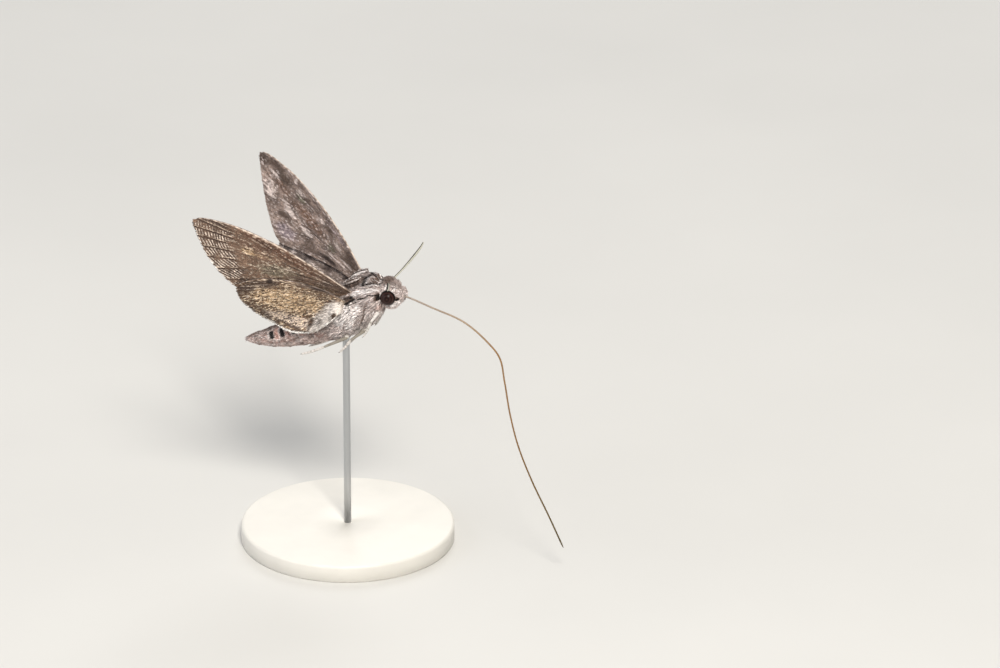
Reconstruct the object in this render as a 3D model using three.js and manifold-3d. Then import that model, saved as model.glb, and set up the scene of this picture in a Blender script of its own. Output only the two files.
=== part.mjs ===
// Convolvulus hawk moth feeding on the wing, life size, on a plain display stand.
// Millimetres, +Z up, head towards +X, the moth's left towards +Y, the floor at Z = 0.
import * as THREE from 'three';
import { mergeVertices } from 'three/addons/utils/BufferGeometryUtils.js';
import Module from 'manifold-3d';

const wasm = await Module();
wasm.setup();

// Overall
const hingePlace = new THREE.Vector3(3.4, 0, 78); // between the wing hinges; all shapes below start there
const gap = 0.3; // left between pieces that touch
const overlap = 0.2; // how far a piece that only cuts runs past the ends of its double
const trunkSides = 20;
const roundRows = 0.7; // rows over sides of a rounded body

// Trunk: one axis in the middle plane, from the tail to the head, seen from the wing hinges
const trunkAxisPoints = [
  [-33.5, -21.8],
  [-25.2, -19.7],
  [-17.2, -16.3],
  [-8.6, -12.1],
  [-1.6, -6.7],
  [5.0, -1.7],
  [10.6, -0.6],
];
const tailTuftLength = 5;
const abdomenLength = 27.6; // tail tuft included
const thoraxEnd = 42.4; // distances along the axis from the tail
const collarEnd = 46.4;
const abdomenRadius = 6.1;
const thoraxBulge = 1.55; // how far the flight muscles swell the thorax
const collarRadius = 5.2;
const abdomenSegments = 6;
const segmentStep = 0.16; // step at the rear edge of each abdomen ring
const tailSteps = 4; // the steps grow to full depth over 1 / 4 of the abdomen
const ringNudge = 1e-6; // keeps the start of a ring on its own side of the step
const trunkWidth = 0.98; // width of the section over its height
const tailPoint = 0.004; // share of the abdomen at which the tail closes
const thoraxLean = 1.1; // moves the fullest place of the thorax along
const tailRounding = 1.3; // powers that shape the taper of the abdomen
const tailFullness = 0.62;

// Head
const headCentre = new THREE.Vector3(9.9, 0, -0.2);
const headHalf = new THREE.Vector3(3.35, 3.35, 4.15);
const headPitch = 12;
const eyeRadius = 2.2;
const eyeCentre = new THREE.Vector3(10.4, 2.75, -1.3);

// Wings: both on each side lie in one bent and twisted sheet that starts at the hinge. The pair is
// caught partway through a beat: the right wings twist and bend more towards their tips.
const forewingLength = 47.7;
const hingeHalfWidth = 5.3;
const wingSides = {
  left: { mirror: 1, sweep: 64, raise: 35, twist: 35.5, tipTwist: 2, bend: 0.08 },
  right: { mirror: -1, sweep: 60.6, raise: 27.3, twist: 29.1, tipTwist: 20.8, bend: 0.127 },
};
const chordHollow = 0.4; // curvature across the wing, per wing length
const hollowLine = 0.078;
const veinEdge = 0.9; // thickness at the front edge
const membrane = 0.55; // thickness elsewhere
const veinTaper = 3; // the membrane's thickness is reached after 1 / 3 of the chord
const hindwingDrop = 1.05; // hindwing sheet below the forewing sheet
const hindwingScale = 0.61; // hindwing length over forewing length
const hindwingTurn = 18.2; // turned back in the sheet
const hindwingRoot = [-0.006, -0.073];
const bodyClearance = 1; // from the trunk to the middle of a hindwing that hangs beside it
const clearPasses = 4; // rounds in which a hindwing is pushed off the trunk
const clearStep = 0.8; // share of the lacking room made up in each round
const clearSoftness = 0.6;
const clearSamples = 60; // places along the trunk from which the room is measured
const rearCorner = 0.52; // share of the wing's length at which the rear corner lies
const tipCut = 0.992; // the last chord stops just short of the tip
const rootEase = 0.12; // share of the wing over which it swings off the trunk
const flareDirection = new THREE.Vector3(0.34, 0.85, 0.4);

// Stand
const baseRadius = 30;
const baseThickness = 5;
const baseBevel = 0.8;
const rodRadius = 1;
const rodTop = -13.6; // inside the thorax, seen from the wing hinges

// Tongue and limbs
const tongueRootRadius = 0.28;
const tongueTipRadius = 0.22;
const tongueTaper = 1.6; // the tip radius is reached after 1 / 1.6 of the length
const antennaBow = { left: 2.2, right: 0.3 }; // forward bow, the right one nearly straight
const antennaRise = 0.8;
const antennaHook = 0.35; // lift of the hooked tip
const boneEndBeyond = 0.6; // how far a bone's rounded end stands past the joint, in radii
const boneEndRadius = 0.75;

const radians = THREE.MathUtils.degToRad;
const lerp = THREE.MathUtils.lerp;
const point = (x, y, z) => new THREE.Vector3(x, y, z);

const finish = (color, roughness = 0.85) =>
  new THREE.MeshStandardMaterial({ color, roughness, metalness: 0 });
const finishes = {
  greyFur: finish(0xb5a39c),
  darkFur: finish(0x6f6058),
  paleFur: finish(0xcfc3bb),
  eye: finish(0x20120f, 0.2),
  upperWing: finish(0x8d7c74),
  underWing: finish(0xa08468),
  leg: finish(0xc9c0a6),
  feeler: finish(0xc2bfa5),
  tongue: finish(0x8d6a43, 0.5),
  stand: finish(0xd9d6cf, 0.45),
};

// A closed solid through rings that all have the same number of points.
function loft(rings) {
  const count = rings[0].length;
  const positions = rings.flat();
  const indices = [];
  for (let i = 0; i + 1 < rings.length; i += 1) {
    for (let j = 0; j < count; j += 1) {
      const a = i * count + j;
      const b = i * count + ((j + 1) % count);
      indices.push(a, a + count, b, b, a + count, b + count);
    }
  }
  [0, rings.length - 1].forEach((end, side) => {
    const middle = rings[end].reduce((sum, p) => sum.add(p), point(0, 0, 0));
    const hub = positions.push(middle.divideScalar(count)) - 1;
    for (let j = 0; j < count; j += 1) {
      const a = end * count + j;
      const b = end * count + ((j + 1) % count);
      indices.push(hub, ...(side ? [b, a] : [a, b]));
    }
  });
  const geometry = new THREE.BufferGeometry().setFromPoints(positions);
  geometry.setIndex(indices);
  return solid(geometry);
}

// Geometry to manifold, turned the right way out.
function solid(geometry) {
  const plain = new THREE.BufferGeometry();
  plain.setAttribute('position', geometry.getAttribute('position'));
  plain.setIndex(geometry.index);
  const merged = mergeVertices(plain, 1e-4);
  const vertProperties = new Float32Array(merged.attributes.position.array);
  const triVerts = new Uint32Array(merged.index.array);
  const build = () => new wasm.Manifold(new wasm.Mesh({ numProp: 3, vertProperties, triVerts }));
  const made = build();
  if (made.volume() > 0) return made;
  for (let i = 0; i < triVerts.length; i += 3) {
    [triVerts[i + 1], triVerts[i + 2]] = [triVerts[i + 2], triVerts[i + 1]];
  }
  return build();
}

function geometryOf(made) {
  const { vertProperties, numProp, triVerts } = made.getMesh();
  const positions = new Float32Array(triVerts.length * 3);
  triVerts.forEach((vertex, i) => {
    for (let k = 0; k < 3; k += 1) positions[i * 3 + k] = vertProperties[vertex * numProp + k];
  });
  const geometry = new THREE.BufferGeometry();
  geometry.setAttribute('position', new THREE.BufferAttribute(positions, 3));
  geometry.computeVertexNormals();
  return geometry;
}

// The largest separate body of a cut solid: slivers left by a cut fall away.
function mainBody(made) {
  const bodies = made.decompose();
  return bodies.reduce((best, body) => (body.volume() > best.volume() ? body : best));
}

const group = new THREE.Group();
group.name = 'hawk_moth';

function addPiece(name, made, material, ...neighbours) {
  const cut = neighbours.reduce((rest, neighbour) => rest.subtract(neighbour), made);
  const mesh = new THREE.Mesh(geometryOf(mainBody(cut)), material);
  mesh.name = name;
  mesh.position.copy(hingePlace);
  group.add(mesh);
}

// Trunk
const trunkAxis = new THREE.CatmullRomCurve3(trunkAxisPoints.map(([x, z]) => point(x, 0, z)));
const trunkLength = trunkAxis.getLength();

function trunkRadius(distance) {
  if (distance < abdomenLength) {
    const share = Math.max(distance / abdomenLength, tailPoint);
    const taper = (1 - (1 - share) ** tailRounding) ** tailFullness;
    const ring = (share * abdomenSegments + ringNudge) % 1;
    return abdomenRadius * taper - segmentStep * (1 - ring) * Math.min(1, share * tailSteps);
  }
  const share = (distance - abdomenLength) / (collarEnd - abdomenLength);
  return lerp(abdomenRadius, collarRadius, share) + thoraxBulge * Math.sin(Math.PI * share ** thoraxLean);
}

function trunkFrame(distance) {
  const at = Math.min(Math.max(distance / trunkLength, 0), 1);
  const along = trunkAxis.getTangentAt(at);
  return { centre: trunkAxis.getPointAt(at), along, up: point(-along.z, 0, along.x) };
}

function trunkRing(distance, growth = 0) {
  const { centre, up } = trunkFrame(distance);
  const radius = trunkRadius(distance) + growth;
  return Array.from({ length: trunkSides }, (_, i) => {
    const turn = (i / trunkSides) * 2 * Math.PI;
    const side = point(0, Math.sin(turn) * radius * trunkWidth, 0);
    return centre.clone().add(side).addScaledVector(up, Math.cos(turn) * radius);
  });
}

function trunkPiece(start, end, rings, growth = 0) {
  const steps = Array.from({ length: rings }, (_, i) => lerp(start, end, i / (rings - 1)));
  return loft(steps.map((distance) => trunkRing(distance, growth)));
}

// Each ring of the abdomen is a long swelling length and a short step down to the next ring.
const abdomenStart = tailTuftLength + gap;
const abdomenEnd = abdomenLength - gap;
const ringEnd = 0.97; // share of a ring at which its step begins
const abdomenRings = Array.from({ length: 2 * abdomenSegments }, (_, i) => {
  const share = (Math.floor(i / 2) + (i % 2 ? ringEnd : 0)) / abdomenSegments;
  return share * abdomenLength;
}).filter((distance) => distance > abdomenStart + gap && distance < abdomenEnd - gap);

// A smooth rounded body with its half sizes along X, Y and Z, pitched head up.
function ellipsoid(centre, half, pitch = 0, growth = 0, across = 16) {
  const geometry = new THREE.SphereGeometry(1, across, Math.round(across * roundRows));
  geometry.scale(half.x + growth, half.y + growth, half.z + growth);
  geometry.rotateY(-radians(pitch));
  geometry.translate(centre.x, centre.y, centre.z);
  return solid(geometry);
}

// A round limb of changing radius along a smooth path.
function limb(points, radii, { steps = 12, sides = 8, growth = 0 } = {}) {
  const curve = new THREE.CatmullRomCurve3(points);
  const frames = curve.computeFrenetFrames(steps, false);
  const rings = Array.from({ length: steps + 1 }, (_, i) => {
    const at = i / steps;
    const slot = at * (radii.length - 1);
    const low = Math.min(Math.floor(slot), radii.length - 2);
    const radius = lerp(radii[low], radii[low + 1], slot - low) + growth;
    return Array.from({ length: sides }, (__, j) => {
      const turn = (j / sides) * 2 * Math.PI;
      return curve
        .getPointAt(at)
        .addScaledVector(frames.normals[i], Math.cos(turn) * radius)
        .addScaledVector(frames.binormals[i], Math.sin(turn) * radius);
    });
  });
  return loft(rings);
}

const mirrored = (p, mirror) => point(p.x, p.y * mirror, p.z);
const sides = [
  ['left', 1],
  ['right', -1],
];

// Wing outlines in the sheet: how far out, how far forward, in forewing lengths
const forewingFront = [
  [-0.05, -0.01],
  [0.06, 0.014],
  [0.2, 0.043],
  [0.38, 0.067],
  [0.55, 0.077],
  [0.75, 0.067],
  [0.9, 0.038],
  [0.965, 0.016],
  [0.995, -0.006],
  [1, -0.022],
];
const forewingInner = [
  [-0.05, -0.07],
  [0.06, -0.085],
  [0.2, -0.14],
  [0.36, -0.22],
  [0.53, -0.315],
];
const forewingOuter = [
  [0.53, -0.315],
  [0.6, -0.312],
  [0.7, -0.27],
  [0.82, -0.195],
  [0.92, -0.11],
  [0.98, -0.05],
  [1, -0.022],
];
const hindwingFront = [
  [-0.04, -0.02],
  [0.2, 0.09],
  [0.45, 0.13],
  [0.7, 0.12],
  [0.9, 0.065],
  [1.0, -0.01],
  [1.015, -0.06],
];
const hindwingInner = [
  [-0.03, -0.1],
  [0.05, -0.3],
  [0.13, -0.5],
  [0.22, -0.63],
  [0.34, -0.69],
];
const hindwingOuter = [
  [0.34, -0.69],
  [0.46, -0.655],
  [0.59, -0.535],
  [0.77, -0.405],
  [0.93, -0.25],
  [1.0, -0.13],
  [1.015, -0.06],
];

const spline = (list) => new THREE.SplineCurve(list.map(([x, y]) => new THREE.Vector2(x, y)));

// A point of the wing sheet: out and forward in forewing lengths, lift in millimetres.
function sheetPoint(side, out, forward, lift) {
  const { mirror, sweep, raise, twist, tipTwist, bend } = wingSides[side];
  const [a, e] = [radians(sweep), radians(raise)];
  const span = point(-Math.sin(a) * Math.cos(e), Math.cos(a) * Math.cos(e), Math.sin(e));
  const ahead = point(1, 0, 0).addScaledVector(span, -span.x).normalize();
  const above = ahead.clone().cross(span);
  const turn = radians(twist + tipTwist * out);
  const chord = ahead.clone().multiplyScalar(Math.cos(turn)).addScaledVector(above, Math.sin(turn));
  const normal = above.multiplyScalar(Math.cos(turn)).addScaledVector(ahead, -Math.sin(turn));
  const height = chordHollow * (forward - hollowLine) ** 2 + bend * out ** 2;
  const place = point(0, hingeHalfWidth / forewingLength, 0)
    .addScaledVector(span, out)
    .addScaledVector(chord, forward)
    .addScaledVector(normal, height + lift / forewingLength)
    .multiplyScalar(forewingLength);
  return mirrored(place, mirror);
}

// The hindwing hangs beside the abdomen, so its inner part swings clear of the trunk.
const trunkSamples = Array.from({ length: clearSamples }, (_, i) => {
  const distance = (i / (clearSamples - 1)) * collarEnd;
  return { centre: trunkFrame(distance).centre, radius: trunkRadius(distance) };
});
function swingClear(place, mirror, share) {
  const direction = mirrored(flareDirection, mirror);
  for (let round = 0; round < clearPasses; round += 1) {
    const room = Math.min(...trunkSamples.map((s) => s.centre.distanceTo(place) - s.radius));
    const lacking = clearSoftness * Math.log1p(Math.exp((bodyClearance - room) / clearSoftness));
    place.addScaledVector(direction, lacking * share * clearStep);
  }
  return place;
}

function hindwingToSheet([x, y]) {
  const turn = radians(hindwingTurn);
  return [
    hindwingRoot[0] + hindwingScale * (x * Math.cos(turn) + y * Math.sin(turn)),
    hindwingRoot[1] + hindwingScale * (y * Math.cos(turn) - x * Math.sin(turn)),
  ];
}

// A wing as chords from its front edge to its rear edge, thickest along the front vein.
function wingPlate(side, front, inner, outer, toSheet, lift, { spans = 16, chords = 6, growth = 0 } = {}) {
  const [frontCurve, innerCurve, outerCurve] = [front, inner, outer].map(spline);
  const clears = lift < 0;
  const { mirror } = wingSides[side];
  const rings = [];
  for (let i = 0; i <= spans; i += 1) {
    const at = (i / spans) * tipCut;
    const swing = THREE.MathUtils.smoothstep(at, 0, rootEase);
    const lead = frontCurve.getPointAt(at);
    const rear =
      at < rearCorner
        ? innerCurve.getPointAt(at / rearCorner)
        : outerCurve.getPointAt((at - rearCorner) / (1 - rearCorner));
    const upper = [];
    const lower = [];
    for (let j = 0; j <= chords; j += 1) {
      const across = j / chords;
      const flat = lead.clone().lerp(rear, across);
      const half = lerp(veinEdge, membrane, Math.min(1, across * veinTaper)) / 2 + growth;
      const [x, y] = toSheet([flat.x, flat.y]);
      const middle = sheetPoint(side, x, y, lift);
      const shift = clears ? swingClear(middle.clone(), mirror, swing).sub(middle) : point(0, 0, 0);
      upper.push(sheetPoint(side, x, y, lift + half).add(shift));
      lower.unshift(sheetPoint(side, x, y, lift - half).add(shift));
    }
    rings.push([...upper, ...lower]);
  }
  return loft(rings);
}

const forewing = (side, options) =>
  wingPlate(side, forewingFront, forewingInner, forewingOuter, (p) => p, 0, options);
const hindwing = (side, options) =>
  wingPlate(side, hindwingFront, hindwingInner, hindwingOuter, hindwingToSheet, -hindwingDrop, options);

// Shoulder flaps over the wing roots
const tegulaCentre = point(-0.1, 2.9, 2.0);
const tegulaHalf = point(3.4, 1.6, 1.45);
const tegulaPitch = 28;
const tegula = (mirror, growth = 0) =>
  ellipsoid(mirrored(tegulaCentre, mirror), tegulaHalf, tegulaPitch, growth, 14);

const thoraxGrown = trunkPiece(abdomenLength - overlap, thoraxEnd + overlap, 8, gap);
const collarGrown = trunkPiece(thoraxEnd, collarEnd + gap, 4, gap);
const tegulaeGrown = tegula(1, gap).add(tegula(-1, gap));
const eye = (mirror, growth = 0) =>
  ellipsoid(mirrored(eyeCentre, mirror), point(eyeRadius, eyeRadius, eyeRadius), 0, growth, 14);
const eyesGrown = eye(1, gap).add(eye(-1, gap));

// Rod and base
function rod(growth = 0) {
  const top = rodTop + growth;
  const height = top + hingePlace.z - baseThickness - gap + growth;
  const geometry = new THREE.CylinderGeometry(rodRadius + growth, rodRadius + growth, height, 16);
  geometry.rotateX(Math.PI / 2);
  geometry.translate(-hingePlace.x, 0, top - height / 2);
  return solid(geometry);
}

function base() {
  const profile = [
    [0, 0],
    [baseRadius, 0],
    [baseRadius, baseThickness - baseBevel],
    [baseRadius - baseBevel, baseThickness],
    [0, baseThickness],
  ].map(([r, z]) => new THREE.Vector2(r, z));
  const geometry = new THREE.LatheGeometry(profile, 48);
  geometry.rotateX(Math.PI / 2);
  geometry.translate(-hingePlace.x, 0, -hingePlace.z);
  return solid(geometry);
}

// Tongue: uncoiled, out of the face, forward and then down into the flower
const tonguePath = [
  [12.6, -1.2],
  [15.2, -1.5],
  [22.4, -3.5],
  [31.8, -6.3],
  [38.6, -11.0],
  [42.5, -15.4],
  [44.0, -22.4],
  [45.6, -31.8],
  [48.0, -41.0],
  [52.0, -50.8],
  [57.2, -61.0],
  [61.6, -70.0],
].map(([x, z]) => point(x, 0, z));
const tongueCurve = new THREE.CatmullRomCurve3(tonguePath);
const tongueLength = tongueCurve.getLength();
const tongueRadius = (at) => lerp(tongueRootRadius, tongueTipRadius, Math.min(1, at * tongueTaper));
function tongue(start, end, steps, growth = 0) {
  const shares = Array.from({ length: steps + 1 }, (_, i) => lerp(start, end, i / steps));
  const points = shares.map((at) => tongueCurve.getPointAt(at));
  return limb(points, shares.map(tongueRadius), { steps, growth });
}

// Palps: two furry pads turned up in front of the face
const palpPath = [
  [9.2, 1.75, -3.6],
  [11.2, 1.8, -3.3],
  [12.6, 1.7, -2.1],
  [13.3, 1.45, -0.6],
  [13.3, 1.3, 0.8],
].map((p) => point(...p));
const palpRadii = [1.3, 1.65, 1.6, 1.45, 0.8];
const palp = (mirror, growth = 0) =>
  limb(palpPath.map((p) => mirrored(p, mirror)), palpRadii, { steps: 8, sides: 10, growth });

// Antennae: thickest in the outer third, with a fine hooked tip
const antennaRoot = point(10.2, 2.0, 2.6);
const antennaReach = { left: point(2.4, 16.1, 4.7), right: point(6.2, -15.6, 4.9) };
const antennaRadii = [0.32, 0.28, 0.32, 0.38, 0.42, 0.4, 0.25];
function antenna(side, mirror) {
  const root = mirrored(antennaRoot, mirror);
  const reach = antennaReach[side];
  const points = [-0.08, 0.25, 0.6, 0.9, 1].map((at) => {
    const p = root.clone().addScaledVector(reach, at);
    p.x += antennaBow[side] * at * (1 - at);
    p.z += at === 1 ? antennaHook : antennaRise * at * (1 - at);
    return p;
  });
  return limb(points, antennaRadii, { steps: 14 });
}

// Legs: thigh against the chest, shin and foot trailing behind
const legs = {
  leg_front: {
    hip: [3.4, 2.2, -9.0],
    knee: [7.9, 3.7, -5.7],
    ankle: [5.7, 4.2, -9.0],
    toe: [3.7, 4.4, -13.3],
  },
  leg_middle: {
    hip: [-0.2, 2.2, -12.6],
    knee: [4.0, 2.8, -11.8],
    ankle: [-0.7, 3.1, -15.7],
    toe: [-4.0, 3.0, -19.8],
  },
  leg_hind: {
    hip: [-3.0, 2.4, -14.4],
    knee: [-1.2, 4.3, -14.5],
    ankle: [-8.6, 3.5, -18.9],
    toe: [-15.5, 3.0, -22.3],
  },
};
const thighRadius = 0.85;
const kneeRadius = 0.6;
const ankleRadius = 0.42;
const toeRadius = 0.26;

// A tapered length with a rounded far end, which the next length starts inside.
function bone(from, to, fromRadius, toRadius) {
  const along = to.clone().sub(from).normalize();
  const across = point(0, 1, 0).addScaledVector(along, -along.y).normalize();
  const third = along.clone().cross(across);
  const shape = [
    [from, 0, fromRadius],
    [to, 0, toRadius],
    [to, toRadius * boneEndBeyond, toRadius * boneEndRadius],
  ];
  const count = 7;
  return loft(
    shape.map(([end, beyond, radius]) =>
      Array.from({ length: count }, (_, j) => {
        const turn = (j / count) * 2 * Math.PI;
        return end
          .clone()
          .addScaledVector(along, beyond)
          .addScaledVector(across, Math.cos(turn) * radius)
          .addScaledVector(third, Math.sin(turn) * radius);
      }),
    ),
  );
}

function leg({ hip, knee, ankle, toe }, mirror) {
  const [a, b, c, d] = [hip, knee, ankle, toe].map((p) => mirrored(point(...p), mirror));
  return bone(a, b, thighRadius, kneeRadius)
    .add(bone(b, c, kneeRadius, ankleRadius))
    .add(bone(c, d, ankleRadius, toeRadius));
}

addPiece('abdomen_tip', trunkPiece(0, tailTuftLength, 5), finishes.paleFur);
addPiece(
  'abdomen',
  loft([abdomenStart, ...abdomenRings, abdomenEnd].map((distance) => trunkRing(distance))),
  finishes.greyFur,
);
addPiece('thorax', trunkPiece(abdomenLength, thoraxEnd, 9), finishes.greyFur, tegulaeGrown, rod(gap));
addPiece('collar', trunkPiece(thoraxEnd + gap, collarEnd, 4), finishes.darkFur, tegulaeGrown);
const head = ellipsoid(headCentre, headHalf, headPitch);
const palpsGrown = palp(1, gap).add(palp(-1, gap));
const tongueInFace = 0.06; // share of the tongue that the head makes room for
const tongueGrown = tongue(0, tongueInFace, 4, gap);
addPiece('head', head, finishes.paleFur, collarGrown, eyesGrown, palpsGrown, tongueGrown);

const headGrown = ellipsoid(headCentre, headHalf, headPitch, gap);
for (const [side, mirror] of sides) {
  const body = [thoraxGrown, collarGrown];
  addPiece(`eye_${side}`, eye(mirror), finishes.eye, collarGrown);
  addPiece(`palp_${side}`, palp(mirror), finishes.paleFur, eyesGrown, tongueGrown, collarGrown);
  addPiece(`antenna_${side}`, antenna(side, mirror), finishes.feeler, headGrown, eyesGrown);
  addPiece(`tegula_${side}`, tegula(mirror), finishes.darkFur);
  addPiece(`forewing_${side}`, forewing(side), finishes.upperWing, ...body, tegulaeGrown);
  addPiece(`hindwing_${side}`, hindwing(side), finishes.underWing, ...body, tegulaeGrown);
  for (const [name, joints] of Object.entries(legs)) {
    addPiece(`${name}_${side}`, leg(joints, mirror), finishes.leg, ...body);
  }
}

const tongueCuts = [0, 0.36, 0.68, 1];
const tongueShare = gap / tongueLength;
['proboscis_base', 'proboscis_middle', 'proboscis_end'].forEach((name, i) => {
  const end = tongueCuts[i + 1] - (i < 2 ? tongueShare : 0);
  addPiece(name, tongue(tongueCuts[i], end, 12), finishes.tongue);
});

addPiece('stand_rod', rod(), finishes.stand);
addPiece('stand_base', base(), finishes.stand);

export default group;
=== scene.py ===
import math

import bpy
import numpy as np
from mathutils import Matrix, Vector


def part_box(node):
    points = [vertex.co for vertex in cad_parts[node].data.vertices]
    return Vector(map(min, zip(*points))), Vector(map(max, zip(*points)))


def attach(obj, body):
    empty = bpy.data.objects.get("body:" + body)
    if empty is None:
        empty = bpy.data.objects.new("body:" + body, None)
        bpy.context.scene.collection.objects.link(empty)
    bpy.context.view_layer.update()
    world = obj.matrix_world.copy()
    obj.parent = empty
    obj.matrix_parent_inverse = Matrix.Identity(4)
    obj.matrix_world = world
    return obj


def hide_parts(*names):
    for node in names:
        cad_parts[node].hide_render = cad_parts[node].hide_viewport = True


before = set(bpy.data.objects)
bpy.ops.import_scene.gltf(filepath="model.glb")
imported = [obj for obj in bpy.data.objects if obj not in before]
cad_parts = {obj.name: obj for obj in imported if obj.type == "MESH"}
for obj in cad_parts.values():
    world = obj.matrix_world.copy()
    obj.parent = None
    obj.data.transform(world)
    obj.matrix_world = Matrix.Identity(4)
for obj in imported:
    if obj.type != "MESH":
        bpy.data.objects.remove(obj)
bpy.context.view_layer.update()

millimetre = 0.001
rodTopBelowHinge = 13.6
rodBehindHinge = 3.4
rodLow, rodHigh = (np.array(corner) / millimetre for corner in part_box("stand_rod"))
hinge = np.array([
    (rodLow[0] + rodHigh[0]) / 2 + rodBehindHinge,
    (rodLow[1] + rodHigh[1]) / 2,
    rodHigh[2] + rodTopBelowHinge,
])
sides = {"left": 1, "right": -1}


def linear(code):
    channels = [int(code[i : i + 2], 16) / 255 for i in (1, 3, 5)]
    bent = [c / 12.92 if c <= 0.04045 else ((c + 0.055) / 1.055) ** 2.4 for c in channels]
    return (*bent, 1.0)


def linked(name, data):
    holder = bpy.data.objects.new(name, data)
    bpy.context.scene.collection.objects.link(holder)
    return holder


def newFinish(name):
    # an empty material, and the function that adds a node to it and gives back one of the node's outputs
    material = bpy.data.materials.new(name)
    material.use_nodes = True
    tree = material.node_tree
    tree.nodes.clear()

    def addNode(kind, settings=None, links=None, give=0):
        node = tree.nodes.new("ShaderNode" + kind)
        for socket, value in (settings or {}).items():
            if isinstance(socket, int) or socket in node.inputs:
                node.inputs[socket].default_value = value
            else:
                setattr(node, socket, value)
        for socket, source in (links or {}).items():
            tree.links.new(source, node.inputs[socket])
        return node.outputs[give] if node.outputs else None

    return material, addNode


def setStops(ramp, stops):
    elements = ramp.node.color_ramp.elements
    while len(elements) < len(stops):
        elements.new(0.5)
    for element, (at, code) in zip(elements, stops):
        element.position = at
        element.color = linear(code)


noiseSpan = {"From Min": 0.3, "From Max": 0.7}  # most of a noise's values lie between these
softStep = {"interpolation_type": "SMOOTHSTEP"}


# Mesh parts are kept as plain arrays until they are placed


def ease(low, high, value):
    share = np.clip((np.asarray(value, float) - low) / (high - low), 0, 1)
    return share * share * (3 - 2 * share)


def unit(vectors):
    vectors = np.asarray(vectors, float)
    return vectors / np.maximum(np.linalg.norm(vectors, axis=-1, keepdims=True), 1e-9)


def readOff(at, places, table):
    # every column of a table at new places between its rows
    return np.stack([np.interp(at, places, column) for column in np.asarray(table).T], -1)


def walkedAlong(path):
    return np.concatenate([[0], np.cumsum(np.linalg.norm(np.diff(path, axis=0), axis=1))])


def fullTurn(count):
    return np.linspace(0, 2 * np.pi, count, endpoint=False)


def rotated(x, y, degrees):
    cosine, sine = math.cos(math.radians(degrees)), math.sin(math.radians(degrees))
    return x * cosine - y * sine, x * sine + y * cosine


def smoothPath(points, count, even=0.5):
    # Catmull-Rom through the points, then count places evenly spaced along it
    points = np.asarray(points, float)
    padded = np.vstack([2 * points[0] - points[1], points, 2 * points[-1] - points[-2]])
    pieces = []
    for i in range(1, len(padded) - 2):
        p = padded[i - 1 : i + 3]
        gaps = np.maximum(np.linalg.norm(np.diff(p, axis=0), axis=1) ** even, 1e-6)
        t = np.concatenate([[0], np.cumsum(gaps)])
        x = np.linspace(t[1], t[2], 24, endpoint=False)[:, None]
        a = [((t[k + 1] - x) * p[k] + (x - t[k]) * p[k + 1]) / (t[k + 1] - t[k]) for k in range(3)]
        b = [((t[k + 2] - x) * a[k] + (x - t[k]) * a[k + 1]) / (t[k + 2] - t[k]) for k in range(2)]
        pieces.append(((t[2] - x) * b[0] + (x - t[1]) * b[1]) / (t[2] - t[1]))
    dense = np.vstack([*pieces, points[-1:]])
    walked = walkedAlong(dense)
    return readOff(np.linspace(0, walked[-1], count), walked, dense)


def alongList(values, count):
    return np.interp(np.linspace(0, 1, count), np.linspace(0, 1, len(values)), values)


def gridFaces(rows, columns, wrap=False):
    i, j = np.meshgrid(np.arange(rows - 1), np.arange(columns if wrap else columns - 1), indexing="ij")
    a, b = (i * columns + j).ravel(), (i * columns + (j + 1) % columns).ravel()
    return np.stack([a, b, b + columns, a + columns], 1)


def part(points, faces):
    return {"points": np.asarray(points, float), "faces": faces, "marks": {}, "unwrap": None}


def capped(rings, ends):
    # rows of points round a middle line become a closed solid, with one point in the middle of each end
    rows, around = rings.shape[:2]
    j = np.arange(around)
    first, top = rows * around, (rows - 1) * around
    caps = [
        np.stack([np.full(around, first), (j + 1) % around, j], 1),
        np.stack([np.full(around, first + 1), top + j, top + (j + 1) % around], 1),
    ]
    return part(np.vstack([rings.reshape(-1, 3), ends]), [gridFaces(rows, around, wrap=True), *caps])


def joined(parts):
    merged = part(np.vstack([one["points"] for one in parts]), [])
    start = 0
    for one in parts:
        merged["faces"] += [face + start for face in one["faces"]]
        start += len(one["points"])
    for name in dict.fromkeys(name for one in parts for name in one["marks"]):
        shape = next(one["marks"][name].shape[1:] for one in parts if name in one["marks"])
        held = [one["marks"].get(name, np.zeros((len(one["points"]), *shape))) for one in parts]
        merged["marks"][name] = np.concatenate(held)
    if all(one["unwrap"] is not None for one in parts):
        merged["unwrap"] = np.vstack([one["unwrap"] for one in parts])
    return merged


def makeMesh(name, one):
    mesh = bpy.data.meshes.new(name)
    loops = np.concatenate([face.ravel() for face in one["faces"]]).astype(np.int32)
    sizes = np.concatenate([np.full(len(face), face.shape[1]) for face in one["faces"]])
    mesh.vertices.add(len(one["points"]))
    mesh.vertices.foreach_set("co", ((one["points"] + hinge) * millimetre).astype(np.float32).ravel())
    mesh.loops.add(len(loops))
    mesh.loops.foreach_set("vertex_index", loops)
    mesh.polygons.add(len(sizes))
    mesh.polygons.foreach_set("loop_start", (np.cumsum(sizes) - sizes).astype(np.int32))
    mesh.polygons.foreach_set("use_smooth", np.full(len(sizes), True))
    mesh.update(calc_edges=True)
    for mark, values in one["marks"].items():
        kind, field = ("FLOAT", "value") if values.ndim == 1 else ("FLOAT_VECTOR", "vector")
        attribute = mesh.attributes.new(mark, kind, "POINT")
        attribute.data.foreach_set(field, values.astype(np.float32).ravel())
    if one["unwrap"] is not None:
        layer = mesh.uv_layers.new(name="OFBake")
        layer.data.foreach_set("uv", one["unwrap"][loops].astype(np.float32).ravel())
    return mesh


def place(name, one, finish, replaced=()):
    mesh = makeMesh(name, one)
    mesh.materials.append(finish)
    piece = linked(name, mesh)
    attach(piece, "root")
    if replaced:
        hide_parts(*replaced)
    triangles = sum(len(face) * (face.shape[1] - 2) for face in one["faces"])
    print(f"{name}: {triangles} triangles")


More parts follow.
